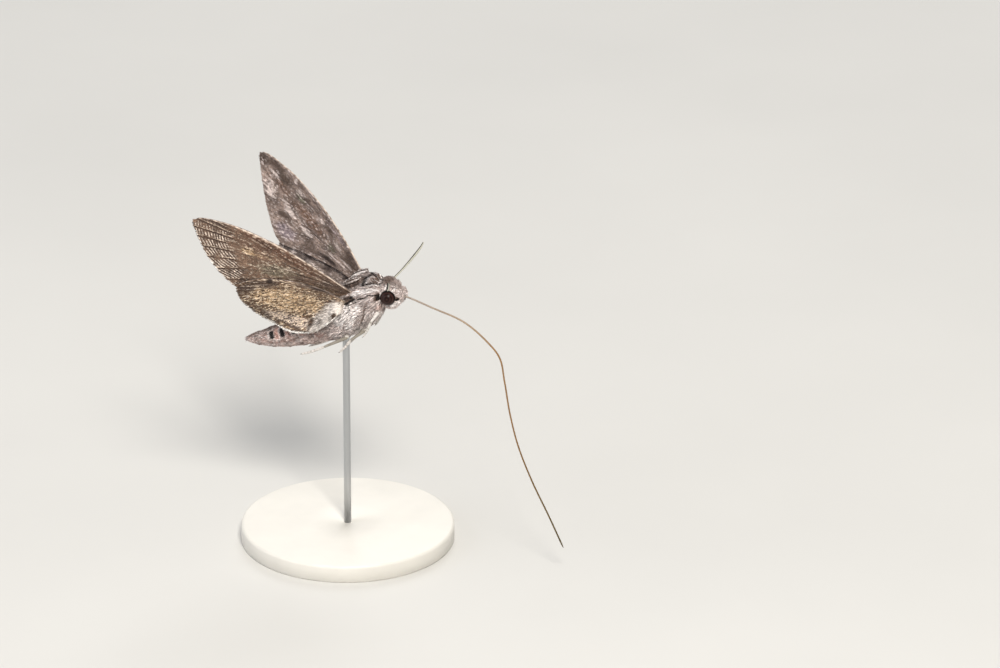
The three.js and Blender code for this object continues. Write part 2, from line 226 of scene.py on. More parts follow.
def tube(path, radii, around=12, marks=None):
    # round solid along a path
    path = np.asarray(path, float)
    steps = len(path)
    tangents = unit(np.gradient(path, axis=0))
    across = np.zeros_like(path)
    across[0] = unit(np.cross(tangents[0], [0.31, 0.9, 0.29]))  # any direction that no path here follows
    for i in range(1, steps):
        across[i] = unit(across[i - 1] - tangents[i] * np.dot(across[i - 1], tangents[i]))
    third = np.cross(tangents, across)
    turn = fullTurn(around)[:, None]
    ring = np.cos(turn) * across[:, None] + np.sin(turn) * third[:, None]
    made = capped(path[:, None] + ring * np.asarray(radii, float)[:, None, None], path[[0, -1]])
    made["marks"] = {
        "share": np.concatenate([np.repeat(np.linspace(0, 1, steps), around), [0, 1]]),
        "facing": np.vstack([ring.reshape(-1, 3), -tangents[:1], tangents[-1:]]),
    }
    for name, values in (marks or {}).items():
        made["marks"][name] = np.concatenate([np.repeat(values, around), values[:1], values[-1:]])
    return made


def ellipsoid(centre, half, pitch=0.0, around=40, rows=28):
    turn = fullTurn(around)
    climb = np.linspace(-np.pi / 2, np.pi / 2, rows + 2)[1:-1, None]
    ball = [np.sin(climb) * np.ones(around), np.cos(climb) * np.cos(turn), np.cos(climb) * np.sin(turn)]
    made = capped(np.stack(ball, -1), [[-1, 0, 0], [1, 0, 0]])
    x, y, z = (made["points"] * half).T
    x, z = rotated(x, z, pitch)
    made["points"] = np.stack([x, y, z], 1) + centre
    return made


def strokeDistance(points, path):
    # distance from each point to a bent line, and which side of it the point lies on (2-D only)
    points, path = np.asarray(points, float), np.asarray(path, float)
    nearest = np.full(len(points), 1e9)
    side = np.ones(len(points))
    for a, b in zip(path[:-1], path[1:]):
        along = b - a
        share = np.clip(((points - a) @ along) / max(along @ along, 1e-12), 0, 1)
        away = points - a - share[:, None] * along
        distance = np.linalg.norm(away, axis=1)
        closer = distance < nearest
        nearest = np.where(closer, distance, nearest)
        if points.shape[1] == 2:
            turned = along[0] * away[:, 1] - along[1] * away[:, 0]
            side = np.where(closer, np.sign(turned), side)
    return nearest, side


def softUnion(held, added):
    return 1 - (1 - held) * (1 - np.clip(added, 0, 1))


def addMark(marks, name, added):
    marks[name] = softUnion(marks[name], added)


# The moth's trunk, along a bent middle line

trunk = {
    "axis": [
        (-33.5, -21.8),
        (-25.2, -19.7),
        (-17.2, -16.3),
        (-8.6, -12.1),
        (-1.6, -6.7),
        (5.0, -1.7),
        (10.6, -0.6),
    ],
    "abdomenEnd": 27.6,  # distances from the tail along the axis
    "collarEnd": 46.4,
    "abdomenRadius": 6.1,
    "collarRadius": 5.2,
    "bulge": 1.55,  # the thorax is thicker than a straight run by this much
    "rings": 6,
    "ringStep": 0.16,
    "narrow": 0.98,  # half width as a share of half height
}
axisPlaces = smoothPath([(x, 0, z) for x, z in trunk["axis"]], 500)
axisAhead = unit(np.gradient(axisPlaces, axis=0))
axisUp = axisAhead[:, [2, 1, 0]] * (-1, 0, 1)
axisWalk = walkedAlong(axisPlaces)


def onAxis(distance, table):
    return readOff(distance, axisWalk, table)


def trunkRadius(distance):
    distance = np.asarray(distance, float)
    share = np.clip(distance / trunk["abdomenEnd"], 0.004, 1)
    taper = (1 - (1 - share) ** 1.3) ** 0.62
    ring = (share * trunk["rings"]) % 1
    abdomen = trunk["abdomenRadius"] * taper - trunk["ringStep"] * (1 - ring) * np.minimum(1, share * 4)
    share = (distance - trunk["abdomenEnd"]) / (trunk["collarEnd"] - trunk["abdomenEnd"])
    share = np.clip(share, 0, 1)
    thorax = trunk["abdomenRadius"] * (1 - share) + trunk["collarRadius"] * share
    thorax = thorax + trunk["bulge"] * np.sin(np.pi * share**1.1)
    return np.where(distance < trunk["abdomenEnd"], abdomen, thorax)


def trunkPlaces(points):
    # distance from the tail and degrees from the back for any points near the trunk
    distance = np.zeros(len(points))
    handful = 8000  # points at a time, to spare memory
    for start in range(0, len(points), handful):
        some = points[start : start + handful]
        gaps = (some[:, 0, None] - axisPlaces[:, 0]) ** 2 + (some[:, 2, None] - axisPlaces[:, 2]) ** 2
        distance[start : start + handful] = axisWalk[gaps.argmin(1)]
    away = points - onAxis(distance, axisPlaces)
    lift = (away * onAxis(distance, axisUp)).sum(1)
    return distance, np.degrees(np.arctan2(np.abs(away[:, 1]), lift))


# The finish that all scales and hairs share


def scaleFinish(name, look):
    # colours are laid over each other where their marks say, their edges ragged as rows of scales leave them
    material, add = newFinish(name)
    lie = add("Attribute", {"attribute_name": "lie"}, give="Vector")
    grains = {}
    for key in ("streak", "speck", "cloud"):
        mapped = add("Mapping", {"Scale": look[key]}, {"Vector": lie})
        noise = add("TexNoise", {"Scale": 1.0, "Detail": 2.0}, {"Vector": mapped})
        grains[key] = add("MapRange", {**noiseSpan, "To Min": -1.0}, {"Value": noise})
    fine = add("Math", {"operation": "MULTIPLY_ADD", 1: 0.6}, {0: grains["streak"], 2: grains["speck"]})
    broad = add("Math", {"operation": "MULTIPLY_ADD", 1: 0.8}, {0: grains["cloud"], 2: fine})
    tear = add("Math", {"operation": "MULTIPLY", 1: look["ragged"]}, {0: broad})
    span = {"From Min": -0.75, "From Max": 0.75, "To Max": look["mottle"]}
    mottle = add("MapRange", span, {"Value": broad})
    ends = {"data_type": "RGBA", 6: linear(look["base"]), 7: linear(look["second"])}
    colour = add("Mix", ends, {0: mottle}, 2)

    drawn = {}
    if look["veined"]:  # veins and dashes are finer than the mesh, so they come from distance and phase
        vein, phase = (add("Attribute", {"attribute_name": mark}, give="Fac") for mark in ("vein", "phase"))
        away = add("Math", {"operation": "ABSOLUTE"}, {0: vein})
        turns = add("Math", {"operation": "MULTIPLY", 1: 2 * math.pi}, {0: phase})
        wave = add("Math", {"operation": "SINE"}, {0: turns})
        drawn["lineDark"] = [(away, 0.24, 0.09)]
        drawn["linePale"] = [(vein, 0.14, 0.22), (vein, 0.48, 0.34)]
        drawn["dash"] = [(wave, -0.1, 0.6)]
    for *where, code in look["layers"] + look["flecks"] + look["lines"]:
        if len(where) == 2:  # single darker and paler scales scattered through the rest
            span = {"From Min": where[0], "From Max": where[1], "To Max": look["fleckShare"]}
            factor = add("MapRange", span, {"Value": fine})
        else:
            amount = add("Attribute", {"attribute_name": where[0]}, give="Fac")
            for value, low, high in drawn.get(where[0], []):
                near = add("MapRange", {**softStep, "From Min": low, "From Max": high}, {"Value": value})
                amount = add("Math", {"operation": "MULTIPLY"}, {0: amount, 1: near})
            torn = add("Math", {"operation": "ADD"}, {0: amount, 1: tear})
            kept = add("MapRange", {**softStep, "From Min": 0.1, "From Max": 0.9}, {"Value": torn})
            # where there is no mark the ragged edge may not start on its own
            there = add("MapRange", {"From Max": 0.25}, {"Value": amount})
            factor = add("Math", {"operation": "MULTIPLY"}, {0: kept, 1: there})
        colour = add("Mix", {"data_type": "RGBA", 7: linear(code)}, {0: factor, 6: colour}, 2)
    shade = add("Attribute", {"attribute_name": "shade"}, give="Fac")
    tones = {}
    for socket, (source, share) in enumerate(((shade, look["vary"]), (fine, look["grain"]))):
        span = {"From Min": -1.0, "To Min": 1 - share, "To Max": 1 + share}
        tones[socket] = add("MapRange", span, {"Value": source})
    value = add("Math", {"operation": "MULTIPLY"}, tones)
    colour = add("HueSaturation", links={"Value": value, "Color": colour})
    bump = add("Bump", {"Strength": look["bump"], "Distance": look["depth"]}, {"Height": fine})
    shine = {**look["surface"], "Sheen Roughness": 0.5}
    shader = add("BsdfPrincipled", shine, {"Base Color": colour, "Normal": bump})
    add("OutputMaterial", links={"Surface": shader})
    return material


# Hair-like scales: matt, soft-edged, with a faint light rim where they stand off
furLook = {
    "base": "#f3e5e0",
    "second": "#846f6a",
    "layers": [("pink", "#cda092")],
    "lines": [("brown", "#6d5b52"), ("pale", "#f3ecea"), ("dark", "#17100e")],
    "veined": False,
    "flecks": [(0.2, 0.9, "#fffafa"), (-0.2, -0.85, "#5a4844")],
    "fleckShare": 0.65,
    "streak": (0.5, 3.0, 1.0),  # per mm along and across the lie
    "speck": (1.2, 1.8, 1.0),
    "cloud": (0.3, 0.45, 1.0),
    "mottle": 0.9,
    "ragged": 0.18,
    "vary": 0.36,
    "grain": 0.34,
    "bump": 0.4,
    "depth": 0.0002,
    "surface": {"Roughness": 0.75, "Specular IOR Level": 0.15, "Sheen Weight": 0.08},
}
fur = scaleFinish("hairScales", furLook)

# Skin: one closed surface for all soft parts of the body

coatDepth = {"abdomen": 0.45, "thorax": 0.85, "head": 0.45, "palp": 0.35, "tegula": 0.45}
head = {"centre": (9.9, 0, -0.2), "half": (3.35, 3.35, 4.15), "pitch": 12}
eye = {"radius": 2.2, "centre": (10.4, 2.75, -1.3)}
tegula = {
    "centre": (-0.1, 2.9, 2.0),
    "half": (3.4, 1.6, 1.45),
    "pitch": 28,
    # lines along the pad: where round it in degrees (90 is its top), half width in degrees, mark and strength
    "lines": [
        (152, 24, "pale", 0.8),
        (120, 8, "dark", 1.0),
        (99, 8, "pale", 0.9),
        (78, 6, "dark", 0.6),
        (58, 8, "pale", 0.8),
        (36, 6, "dark", 0.6),
        (16, 10, "pale", 0.8),
        (-14, 11, "dark", 0.95),
    ],
}
palp = {
    "path": [(9.2, 1.75, -3.6), (11.2, 1.8, -3.3), (12.6, 1.7, -2.1), (13.3, 1.45, -0.6), (13.3, 1.3, 0.8)],
    "radii": [1.3, 1.65, 1.6, 1.45, 0.8],
}


def mirrored(points, side):
    return np.asarray(points, float) * (1, side, 1)


def foldedOver(points):
    # both halves of the body on its left side
    return points * (1, 0, 1) + np.abs(points) * (0, 1, 0)


def trunkCore():
    distance = np.arange(0.55, trunk["collarEnd"] + 1.0, 0.3)
    depth = coatDepth["abdomen"] + (coatDepth["thorax"] - coatDepth["abdomen"]) * ease(24, 32, distance)
    radius = trunkRadius(distance) - depth * ease(-1, 9, distance) - 0.1
    # rounded off in front, inside the head
    radius *= np.sqrt(np.clip(1 - (np.maximum(distance - 44.6, 0) / 3.2) ** 2, 0.05, 1))
    turn = fullTurn(72)[:, None]
    centre = onAxis(distance, axisPlaces)
    ring = np.cos(turn) * onAxis(distance, axisUp)[:, None] + np.sin(turn) * np.array([0, trunk["narrow"], 0])
    return capped(centre[:, None] + ring * np.maximum(radius, 0.25)[:, None, None], centre[[0, -1]])


def headCore():
    shrink = coatDepth["head"]
    pieces = [ellipsoid(head["centre"], np.array(head["half"]) - shrink, head["pitch"])]
    pieces.append(ellipsoid((11.6, 0, 0.9), (1.5, 1.7, 1.9), 0))  # brow between the feelers
    for side in sides.values():
        path = smoothPath(mirrored(palp["path"], side), 24)
        radii = alongList(palp["radii"], 24) - coatDepth["palp"]
        radii *= np.sqrt(1 - np.linspace(-0.9, 0.9, 24) ** 8)
        pieces.append(tube(path, radii, 20))
        socket = mirrored(eye["centre"], side) - (0, side * 0.1, 0)
        turn = np.linspace(0, 2 * np.pi, 61)
        ring = np.stack([np.cos(turn), np.zeros(61), np.sin(turn)], 1) * (eye["radius"] + 0.12)
        pieces.append(tube(ring + socket, np.full(61, 0.26), 10))  # rim that the eye sits in
        half = np.array(tegula["half"]) - coatDepth["tegula"]
        pieces.append(ellipsoid(mirrored(tegula["centre"], side), half, tegula["pitch"]))
    return pieces


def grownTogether(pieces, cell, rounds):
    # closed pieces that run through each other become one even skin
    rough = joined([{**one, "marks": {}} for one in pieces])
    mesh = makeMesh("roughSkin", rough)
    holder = linked("roughSkin", mesh)
    remesh = holder.modifiers.new("even", "REMESH")
    remesh.mode = "VOXEL"
    remesh.voxel_size = cell * millimetre
    evaluated = holder.evaluated_get(bpy.context.evaluated_depsgraph_get())
    even = bpy.data.meshes.new_from_object(evaluated)
    points = np.zeros(len(even.vertices) * 3)
    even.vertices.foreach_get("co", points)
    points = points.reshape(-1, 3) / millimetre - hinge
    corners = np.zeros(len(even.loops), int)
    even.loops.foreach_get("vertex_index", corners)
    starts = np.zeros(len(even.polygons), int)
    even.polygons.foreach_get("loop_start", starts)
    counts = np.diff(np.append(starts, len(corners)))
    faces = []
    for size in (3, 4):
        if (counts == size).any():
            faces.append(np.stack([corners[starts[counts == size] + k] for k in range(size)], 1))
    edges = np.zeros(len(even.edges) * 2, int)
    even.edges.foreach_get("vertices", edges)
    edges = edges.reshape(-1, 2)
    degree = np.bincount(edges.ravel(), minlength=len(points))[:, None]
    for _ in range(rounds):
        total = np.stack([
            np.bincount(edges[:, 0], points[edges[:, 1], k], len(points))
            + np.bincount(edges[:, 1], points[edges[:, 0], k], len(points))
            for k in range(3)
        ], 1)
        points = points * 0.4 + 0.6 * total / degree
    bpy.data.objects.remove(holder)
    bpy.data.meshes.remove(mesh)
    bpy.data.meshes.remove(even)
    return part(points, faces)


def normalsOf(one):
    normals = np.zeros_like(one["points"])
    for face in one["faces"]:
        a, b, c = (one["points"][face[:, k]] for k in (0, 1, 2))
        cross = np.cross(b - a, c - a)
        if face.shape[1] == 4:
            cross = np.cross(c - a, one["points"][face[:, 3]] - b)
        for k in range(face.shape[1]):
            np.add.at(normals, face[:, k], cross)
    return unit(normals)


# Markings of head and body, the same on both sides, each a soft band: its mark, half width in mm, strength
# and run. On the trunk a place is mm from the tail and degrees from the back; on the head it is mm forward
# and up from the middle of the eye, as seen from the side.
girth = 6.4  # mm round the trunk per radian, near enough for the markings


def unrolled(distance, degrees):
    return np.stack([distance, np.radians(degrees) * girth], -1)


def trunkBand(*places):
    return unrolled(*np.array(places, float).T)


trunkBands = [
    # thin wavy line from behind the eye to the wing root, and the dark wedge there
    ("dark", 0.17, 1.0, trunkBand(*[(s, 82 + 2.2 * math.sin(2.2 * s)) for s in np.arange(40.5, 47.2, 0.5)])),
    ("brown", 1.1, 0.85, trunkBand((38.4, 66), (40.6, 69))),
    ("dark", 0.3, 1.0, trunkBand((38.2, 74), (40.8, 75))),
    ("dark", 0.32, 1.0, trunkBand((40.5, 66), (41.0, 74))),
    ("dark", 0.13, 0.9, trunkBand((38.8, 78), (38.4, 92))),
    # collar: a black arc with a pale edge, and the brown patch in front of it
    ("brown", 0.7, 0.6, trunkBand((46.2, 10), (45.9, 30), (45.3, 50))),
    ("pale", 0.2, 0.9, trunkBand((47.0, 8), (46.8, 22))),
    ("dark", 0.28, 1.0, trunkBand((45.2, 0), (44.5, 20), (44.0, 48))),
    ("pale", 0.16, 0.8, trunkBand((45.7, 12), (45.0, 20), (44.6, 40))),
    ("dark", 0.2, 0.95, trunkBand((45.0, 2), (46.2, 5), (47.2, 11), (47.9, 17))),
    ("dark", 0.17, 0.95, trunkBand((44.1, 48), (45.4, 43), (46.8, 33), (48.1, 27))),
    ("pale", 0.14, 0.8, trunkBand((45.6, 27), (46.6, 22), (47.6, 21))),
    ("pale", 0.16, 0.8, trunkBand((45.0, 51), (46.4, 42), (47.6, 35))),
    ("pale", 0.8, 0.9, trunkBand((46.5, 64), (44.5, 66), (41.5, 62))),
    # streaks down the chest beside the front leg; the brown ones are painted shadow of the leg
    ("brown", 0.24, 1.0, trunkBand((42.5, 106), (41.0, 119), (39.8, 126))),
    ("brown", 0.3, 1.0, trunkBand((39.0, 128), (36.8, 138), (35.0, 148))),
    ("brown", 0.2, 0.8, trunkBand((43.6, 100), (43.0, 106))),
    ("pale", 1.1, 0.8, trunkBand((40.5, 98), (37.0, 110), (34.0, 124))),
    # white hair under the wing root
    ("pale", 1.9, 1.0, trunkBand((37.5, 86), (35.5, 92), (33.0, 98))),
    ("dark", 0.12, 0.7, trunkBand((2.6, 50), (6.0, 66), (7.4, 80))),
]
barStart, barStep, barCount = 9.4, 4.0, 4  # black bars on the sides of the abdomen, pink between them
for bar in range(barCount):
    at = barStart + barStep * bar
    low, high = 44 + 3 * bar, 84
    trunkBands.append(("pink", 0.9, 0.75, trunkBand((at + 1.9, low), (at + 1.9, high))))
    trunkBands.append(("pale", 0.45, 0.45, trunkBand((at - 1.25, low), (at - 1.25, high))))
    trunkBands.append(("dark", 0.8, 1.0, trunkBand((at - 0.1, low + 6), (at, high - 4))))

headBands = [
    ("brown", 0.75, 1.0, [(-2.9, 0.5), (-2.8, -0.4)]),  # patch behind the eye, darkest in the middle
    ("dark", 0.4, 0.9, [(-2.8, 0.3), (-2.7, -0.5)]),
    ("dark", 0.3, 0.95, [(2.4, -0.35), (2.95, -0.05)]),  # patch in front of the eye: painted shade in the gap between eye and palp
    ("brown", 0.42, 0.9, [(2.5, 0.25), (3.1, 0.0)]),
    ("dark", 0.28, 1.0, [(-0.1, 2.3), (-0.1, 3.7)]),  # line up to the feeler: dark scales and painted shadow of the feeler's socket
    ("pale", 0.3, 1.0, [(-0.8, 2.5), (-0.7, 3.2)]),
    ("pale", 0.3, 1.0, [(1.3, 2.1), (1.8, 2.5)]),
    ("pale", 0.2, 0.6, [(-2.15, 1.2), (-2.3, 0.0), (-2.1, -1.0)]),  # pale rim behind the eye
    ("pale", 0.5, 0.8, [(1.2, -2.3), (2.6, -1.4), (3.2, -0.8)]),
    ("brown", 1.1, 0.5, [(-3.2, 4.3), (-0.4, 4.9)]),
    ("pink", 1.2, 0.55, [(-2.4, -3.5), (-1.6, -3.2)]),
    ("brown", 0.4, 0.5, [(-3.4, -2.4), (-3.0, -4.2)]),
]


def padPlaces(folded):
    # how far points belong to a shoulder flap, and their direction round it (90 degrees is its top)
    tilt = math.radians(tegula["pitch"])
    turned = (folded - tegula["centre"]) @ np.array([
        [math.cos(tilt), 0, -math.sin(tilt)],
        [0, 1, 0],
        [math.sin(tilt), 0, math.cos(tilt)],
    ])
    onPad = ease(1.45, 1.15, np.linalg.norm(turned / tegula["half"], axis=1))
    return onPad, np.degrees(np.arctan2(turned[:, 2] / tegula["half"][2], turned[:, 1] / tegula["half"][1]))


bodyColours = ("dark", "brown", "pink", "pale")


def bodyMarks(points):
    distance, degrees = trunkPlaces(points)
    folded = foldedOver(points)
    marks = {mark: np.zeros(len(points)) for mark in bodyColours}
    onThorax = ease(25, 30, distance)
    onAbdomen = ease(30, 26, distance)
    marks["brown"] = 0.45 * onThorax * ease(60, 20, degrees)
    marks["brown"] += onAbdomen * (0.32 + 0.3 * ease(50, 16, degrees))
    # shoulder flaps: streaky grey-brown pads with a black line above and below
    onPad, pad = padPlaces(folded)
    addMark(marks, "brown", 0.6 * onPad)
    for middle, half, mark, strength in tegula["lines"]:
        line = onPad * ease(half, half * 0.5, np.abs(pad - middle)) * strength
        addMark(marks, mark, line)
        if mark == "dark":
            marks["pale"] *= 1 - line
    crown = ease(2.7, 3.3, points[:, 2]) * ease(7.6, 8.4, points[:, 0]) * ease(11.6, 10.8, points[:, 0])
    addMark(marks, "brown", 0.5 * crown)
    # each segment of the abdomen has a dusky front and a pale rear rim
    ring = (distance / trunk["abdomenEnd"] * trunk["rings"]) % 1
    dusky = onAbdomen * ease(0.5, 0.95, ring) * (0.6 + 0.4 * np.sin(degrees * 0.21 + distance))
    addMark(marks, "brown", 0.4 * dusky)
    marks["pink"] = 0.42 * onAbdomen * (1 - 0.5 * dusky)
    addMark(marks, "pale", 0.35 * ease(95, 150, degrees) * onThorax)
    addMark(marks, "pale", 0.35 * onAbdomen * ease(0.22, 0.04, ring))
    onTrunk = unrolled(distance, degrees)
    bands = [(band, strokeDistance(onTrunk, band[3])[0], 1.0) for band in trunkBands]
    beside = ease(0.9, 1.6, folded[:, 1])
    fromEye = folded[:, [0, 2]] - np.array(eye["centre"])[[0, 2]]
    bands += [(band, strokeDistance(fromEye, band[3])[0], beside) for band in headBands]
    for (mark, reach, strength, _), away, share in bands:
        held = strength * share * ease(reach + 0.13, reach * 0.7, away)
        addMark(marks, mark, held)
        if mark == "dark":
            for other in ("pale", "pink"):
                marks[other] = marks[other] * (1 - held)
    # the grain's own places: mm along and round, with the two sides apart
    marks["lie"] = np.stack([distance, np.radians(degrees) * 6.5, np.sign(points[:, 1]) * 7], 1)
    return marks, distance, degrees


skin = grownTogether([trunkCore(), *headCore()], 0.27, 5)
skin["marks"], skinDistance, skinDegrees = bodyMarks(skin["points"])
# the skin, seen only between the locks, is toned darker: painted shade between the locks
skin["marks"]["shade"] = np.full(len(skin["points"]), -0.5)
fleshNodes = ["abdomen_tip", "abdomen", "thorax", "collar", "head"]
fleshNodes += [f"{name}_{side}" for name in ("palp", "tegula") for side in sides]
place("skin", skin, fur, fleshNodes)
print("skin done")

# Coat: solid locks of hair-like scales over the skin


def scatter(one, fields, perArea, dice):
    # places spread over a surface, with every field read off where each one falls
    fans = [face[:, [0, k, k + 1]] for face in one["faces"] for k in range(1, face.shape[1] - 1)]
    triangles = np.vstack(fans)
    corners = one["points"][triangles]
    area = np.linalg.norm(np.cross(corners[:, 1] - corners[:, 0], corners[:, 2] - corners[:, 0]), axis=1) / 2
    weight = area * perArea[triangles].mean(1)
    chosen = triangles[dice.choice(len(triangles), int(weight.sum()), p=weight / weight.sum())]
    u, v = dice.random((2, len(chosen)))
    u, v = np.where(u + v > 1, 1 - u, u), np.where(u + v > 1, 1 - v, v)
    share = np.stack([1 - u - v, u, v], 1)
    held = {**fields, "place": one["points"]}
    return {name: np.einsum("nk...,nk->n...", values[chosen], share) for name, values in held.items()}


lockPoints = 7  # three at the root, three halfway and the tip


def locks(roots, look, dice, marks):
    # one thin tapering lock per root: three-sided, two lengths long, bent towards the body
    count = len(roots["place"])
    normal = unit(roots["normal"])
    lie = roots["lay"] + dice.normal(0, look["stray"], (count, 3))
    lie = unit(lie - normal * (lie * normal).sum(1, keepdims=True))
    across = np.cross(normal, lie)
    length = roots["length"] * dice.uniform(0.7, 1.25, count)
    width = look["width"] * dice.uniform(0.75, 1.25, count)
    rise = roots["rise"] * dice.uniform(0.4, 1.5, count)
    lean = dice.normal(0, 0.12, count)
    start = roots["place"] - normal * look["sunk"]
    corners = []

    def row(share, size, high):
        bent = length * lean * share**2
        middle = (
            start
            + lie * (length * share)[:, None]
            + normal * (look["sunk"] * (share > 0) + length * rise * high)[:, None]
            + across * bent[:, None]
        )
        wide = across * (width * size / 2)[:, None]
        thick = normal * (width * size * 0.45)[:, None]
        for aside in (-width * size / 2, width * size / 2, 0 * width):
            corners.append(np.stack([length * share, bent + aside], 1))
        return [middle - wide, middle + wide, middle + thick]

    rows = [*row(0.0, 0.8, 0.0), *row(0.5, 1.0, 0.85), row(1.0, 0.0, 1.0)[0]]
    points = np.stack(rows, 1).reshape(-1, 3)
    first = np.arange(count)[:, None] * lockPoints
    quads = np.vstack([first + face for face in ([0, 1, 4, 3], [1, 2, 5, 4], [2, 0, 3, 5])])
    tris = np.vstack([first + face for face in ([3, 4, 6], [4, 5, 6], [5, 3, 6], [0, 2, 1])])
    made = part(points, [quads, tris])
    made["marks"] = {name: np.repeat(roots[name], lockPoints, axis=0) for name in marks}
    made["marks"]["shade"] = np.repeat(dice.uniform(-1, 1, count), lockPoints)
    made["offsets"] = np.stack(corners[:lockPoints], 1).reshape(-1, 2)  # mm along and aside of the root
    mapped = np.array([(-1, -1), (1, -1), (0, -1), (-1, 0), (1, 0), (0, 0), (0, 1)]) * 0.0015  # map widths
    made["unwrap"] = np.repeat(roots["map"], lockPoints, axis=0) + np.tile(mapped, (count, 1))
    return made


def mixed(first, second, share):
    return first * (1 - share)[:, None] + second * share[:, None]


def coatFields():
    points = skin["points"]
    folded = foldedOver(points)
    outward = np.stack([np.ones(len(points)), np.sign(points[:, 1]), np.ones(len(points))], 1)
    onHead = ease(7.6, 8.6, points[:, 0]) * ease(45.5, 46.6, skinDistance)
    fromMouth = unit(points - np.array([14.6, 0, -2.2]))
    lay = mixed(-onAxis(skinDistance, axisAhead), fromMouth, onHead)
    palpPath = smoothPath(palp["path"], 30)
    palpGaps = np.linalg.norm(folded[:, None] - palpPath[None], axis=2)
    palpNear = palpGaps.argmin(1)
    offPalp = palpGaps.min(1) - alongList(palp["radii"], 30)[palpNear]
    onPalp = ease(0.35, 0.0, offPalp) * ease(8.8, 9.8, points[:, 0])
    palpAhead = unit(np.gradient(palpPath, axis=0))[palpNear] * outward
    lay = mixed(lay, palpAhead, onPalp)
    eyeAway = np.linalg.norm(folded - eye["centre"], axis=1)
    onThorax = ease(25, 31, skinDistance)
    belly = ease(95, 140, skinDegrees)
    length = 1.0 + onThorax * (0.75 + 0.6 * belly)
    fromRoot = np.linalg.norm(unrolled(skinDistance, skinDegrees) - unrolled(36.5, 84), axis=1)
    length = length * (1 + 0.5 * ease(3, 1, skinDistance)) + 1.6 * ease(3.6, 1.6, fromRoot)
    length = length * (1 - onHead) + 0.85 * onHead
    length = length * (1 - onPalp) + 0.7 * onPalp
    onPad, _ = padPlaces(folded)
    length *= 1 - 0.5 * onPad
    length *= 0.4 + 0.6 * ease(eye["radius"] + 0.1, eye["radius"] + 1.4, eyeAway)
    fromEye = unit((folded - eye["centre"]) * (1, 0.3, 1)) * outward
    byEye = ease(eye["radius"] + 1.3, eye["radius"] + 0.4, eyeAway)
    around = np.arctan2(points[:, 1], (points - onAxis(skinDistance, axisPlaces)) @ np.array([0, 0, 1.0]))
    return {
        "normal": normalsOf(skin),
        "lay": mixed(lay, fromEye, byEye),
        "length": length,
        "rise": 0.13 + 0.12 * onThorax * (1 - onPad) + 0.12 * belly * onThorax + 0.05 * onHead,
        "map": np.stack([0.5 + around / (2 * np.pi) * 0.9, 0.05 + skinDistance / axisWalk[-1] * 0.9], 1),
        "along": skinDistance,
        "eyeAway": eyeAway,
        **{mark: skin["marks"][mark] for mark in (*bodyColours, "lie")},
    }


fields = coatFields()
coats = {  # from and to in mm from the tail, locks per square mm
    "coatAbdomen": {"from": -1, "to": 25, "perArea": 20.0, "width": 0.3, "stray": 0.16, "sunk": 0.12},
    "coatThorax": {"from": 25, "to": 42.8, "perArea": 19.0, "width": 0.3, "stray": 0.22, "sunk": 0.15},
    "coatHead": {"from": 42.8, "to": 99, "perArea": 30.0, "width": 0.22, "stray": 0.16, "sunk": 0.1},
}
for seed, (name, look) in enumerate(coats.items()):
    dice = np.random.default_rng(40 + seed)
    inside = (fields["along"] >= look["from"]) & (fields["along"] < look["to"])
    wanted = inside * look["perArea"]
    wanted *= fields["eyeAway"] > eye["radius"] + 0.12
    roots = scatter(skin, fields, wanted, dice)
    coat = locks(roots, look, dice, (*bodyColours, "lie"))
    painted, _, _ = bodyMarks(coat["points"])  # marked at every corner, so that a line stays thin
    coat["marks"].update({mark: painted[mark] for mark in bodyColours})
    place(name, coat, fur)
print("coat done")

# Eyes

eyeLook = {
    "stops": [
        # painted highlight in the middle, then painted reflection rings out to the black rim
        (0.0, "#5a3f3a"),
        (0.09, "#2e1c18"),
        (0.2, "#150a08"),
        (0.31, "#38231f"),
        (0.42, "#150a08"),
        (0.56, "#3d2622"),
        (0.68, "#1a0d0b"),
        (0.78, "#050303"),
    ],
    "surface": {"Roughness": 0.3, "IOR": 1.42, "Specular IOR Level": 0.22},
}


def eyeFinish():
    # cuticle lens array: very dark, glossy; the lighter middle and the soft rings round the eye's own axis
    # are painted highlight and painted reflection
    material, add = newFinish("glossyEyeCuticle")
    ring = add("Attribute", {"attribute_name": "ring"}, give="Fac")
    spot = add("TexCoord", give="Object")
    noise = add("TexNoise", {"Scale": 1400.0, "Detail": 2.0}, {"Vector": spot})
    bent = add("Math", {"operation": "MULTIPLY_ADD", 1: 5.0}, {0: noise, 2: ring})
    share = add("Math", {"operation": "DIVIDE", 1: 90.0}, {0: bent})
    ramp = add("ValToRGB", links={0: share})
    setStops(ramp, eyeLook["stops"])
    # real facets are 0.03 mm across; drawn at 0.12 mm so that they show
    facets = add("TexVoronoi", {"Scale": 8000.0}, {"Vector": spot})
    bump = add("Bump", {"Strength": 0.25, "Distance": 0.00003, "invert": True}, {"Height": facets})
    shader = add("BsdfPrincipled", eyeLook["surface"], {"Base Color": ramp, "Normal": bump})
    add("OutputMaterial", links={"Surface": shader})
    return material


eyeShine = eyeFinish()
for name, side in sides.items():
    ball = ellipsoid((0, 0, 0), (1, 1, 1), 0, 72, 48)
    # axis of the painted highlight and reflection rings: out, a little forward and up
    paintedShineAxis = unit(np.array([0.22, side * 0.94, 0.16]))
    angle = np.degrees(np.arccos(np.clip(ball["points"] @ paintedShineAxis, -1, 1)))
    ball["points"] *= (eye["radius"] - 0.02) * (1 + 0.02 * np.cos(np.radians(angle)))[:, None]
    ball["points"] += mirrored(eye["centre"], side)
    ball["marks"] = {"ring": angle}
    place(f"eye_{name}", ball, eyeShine, [f"eye_{name}"])
print("eyes done")

# Wings: each a thin shell per side, with overlapping vanes on it

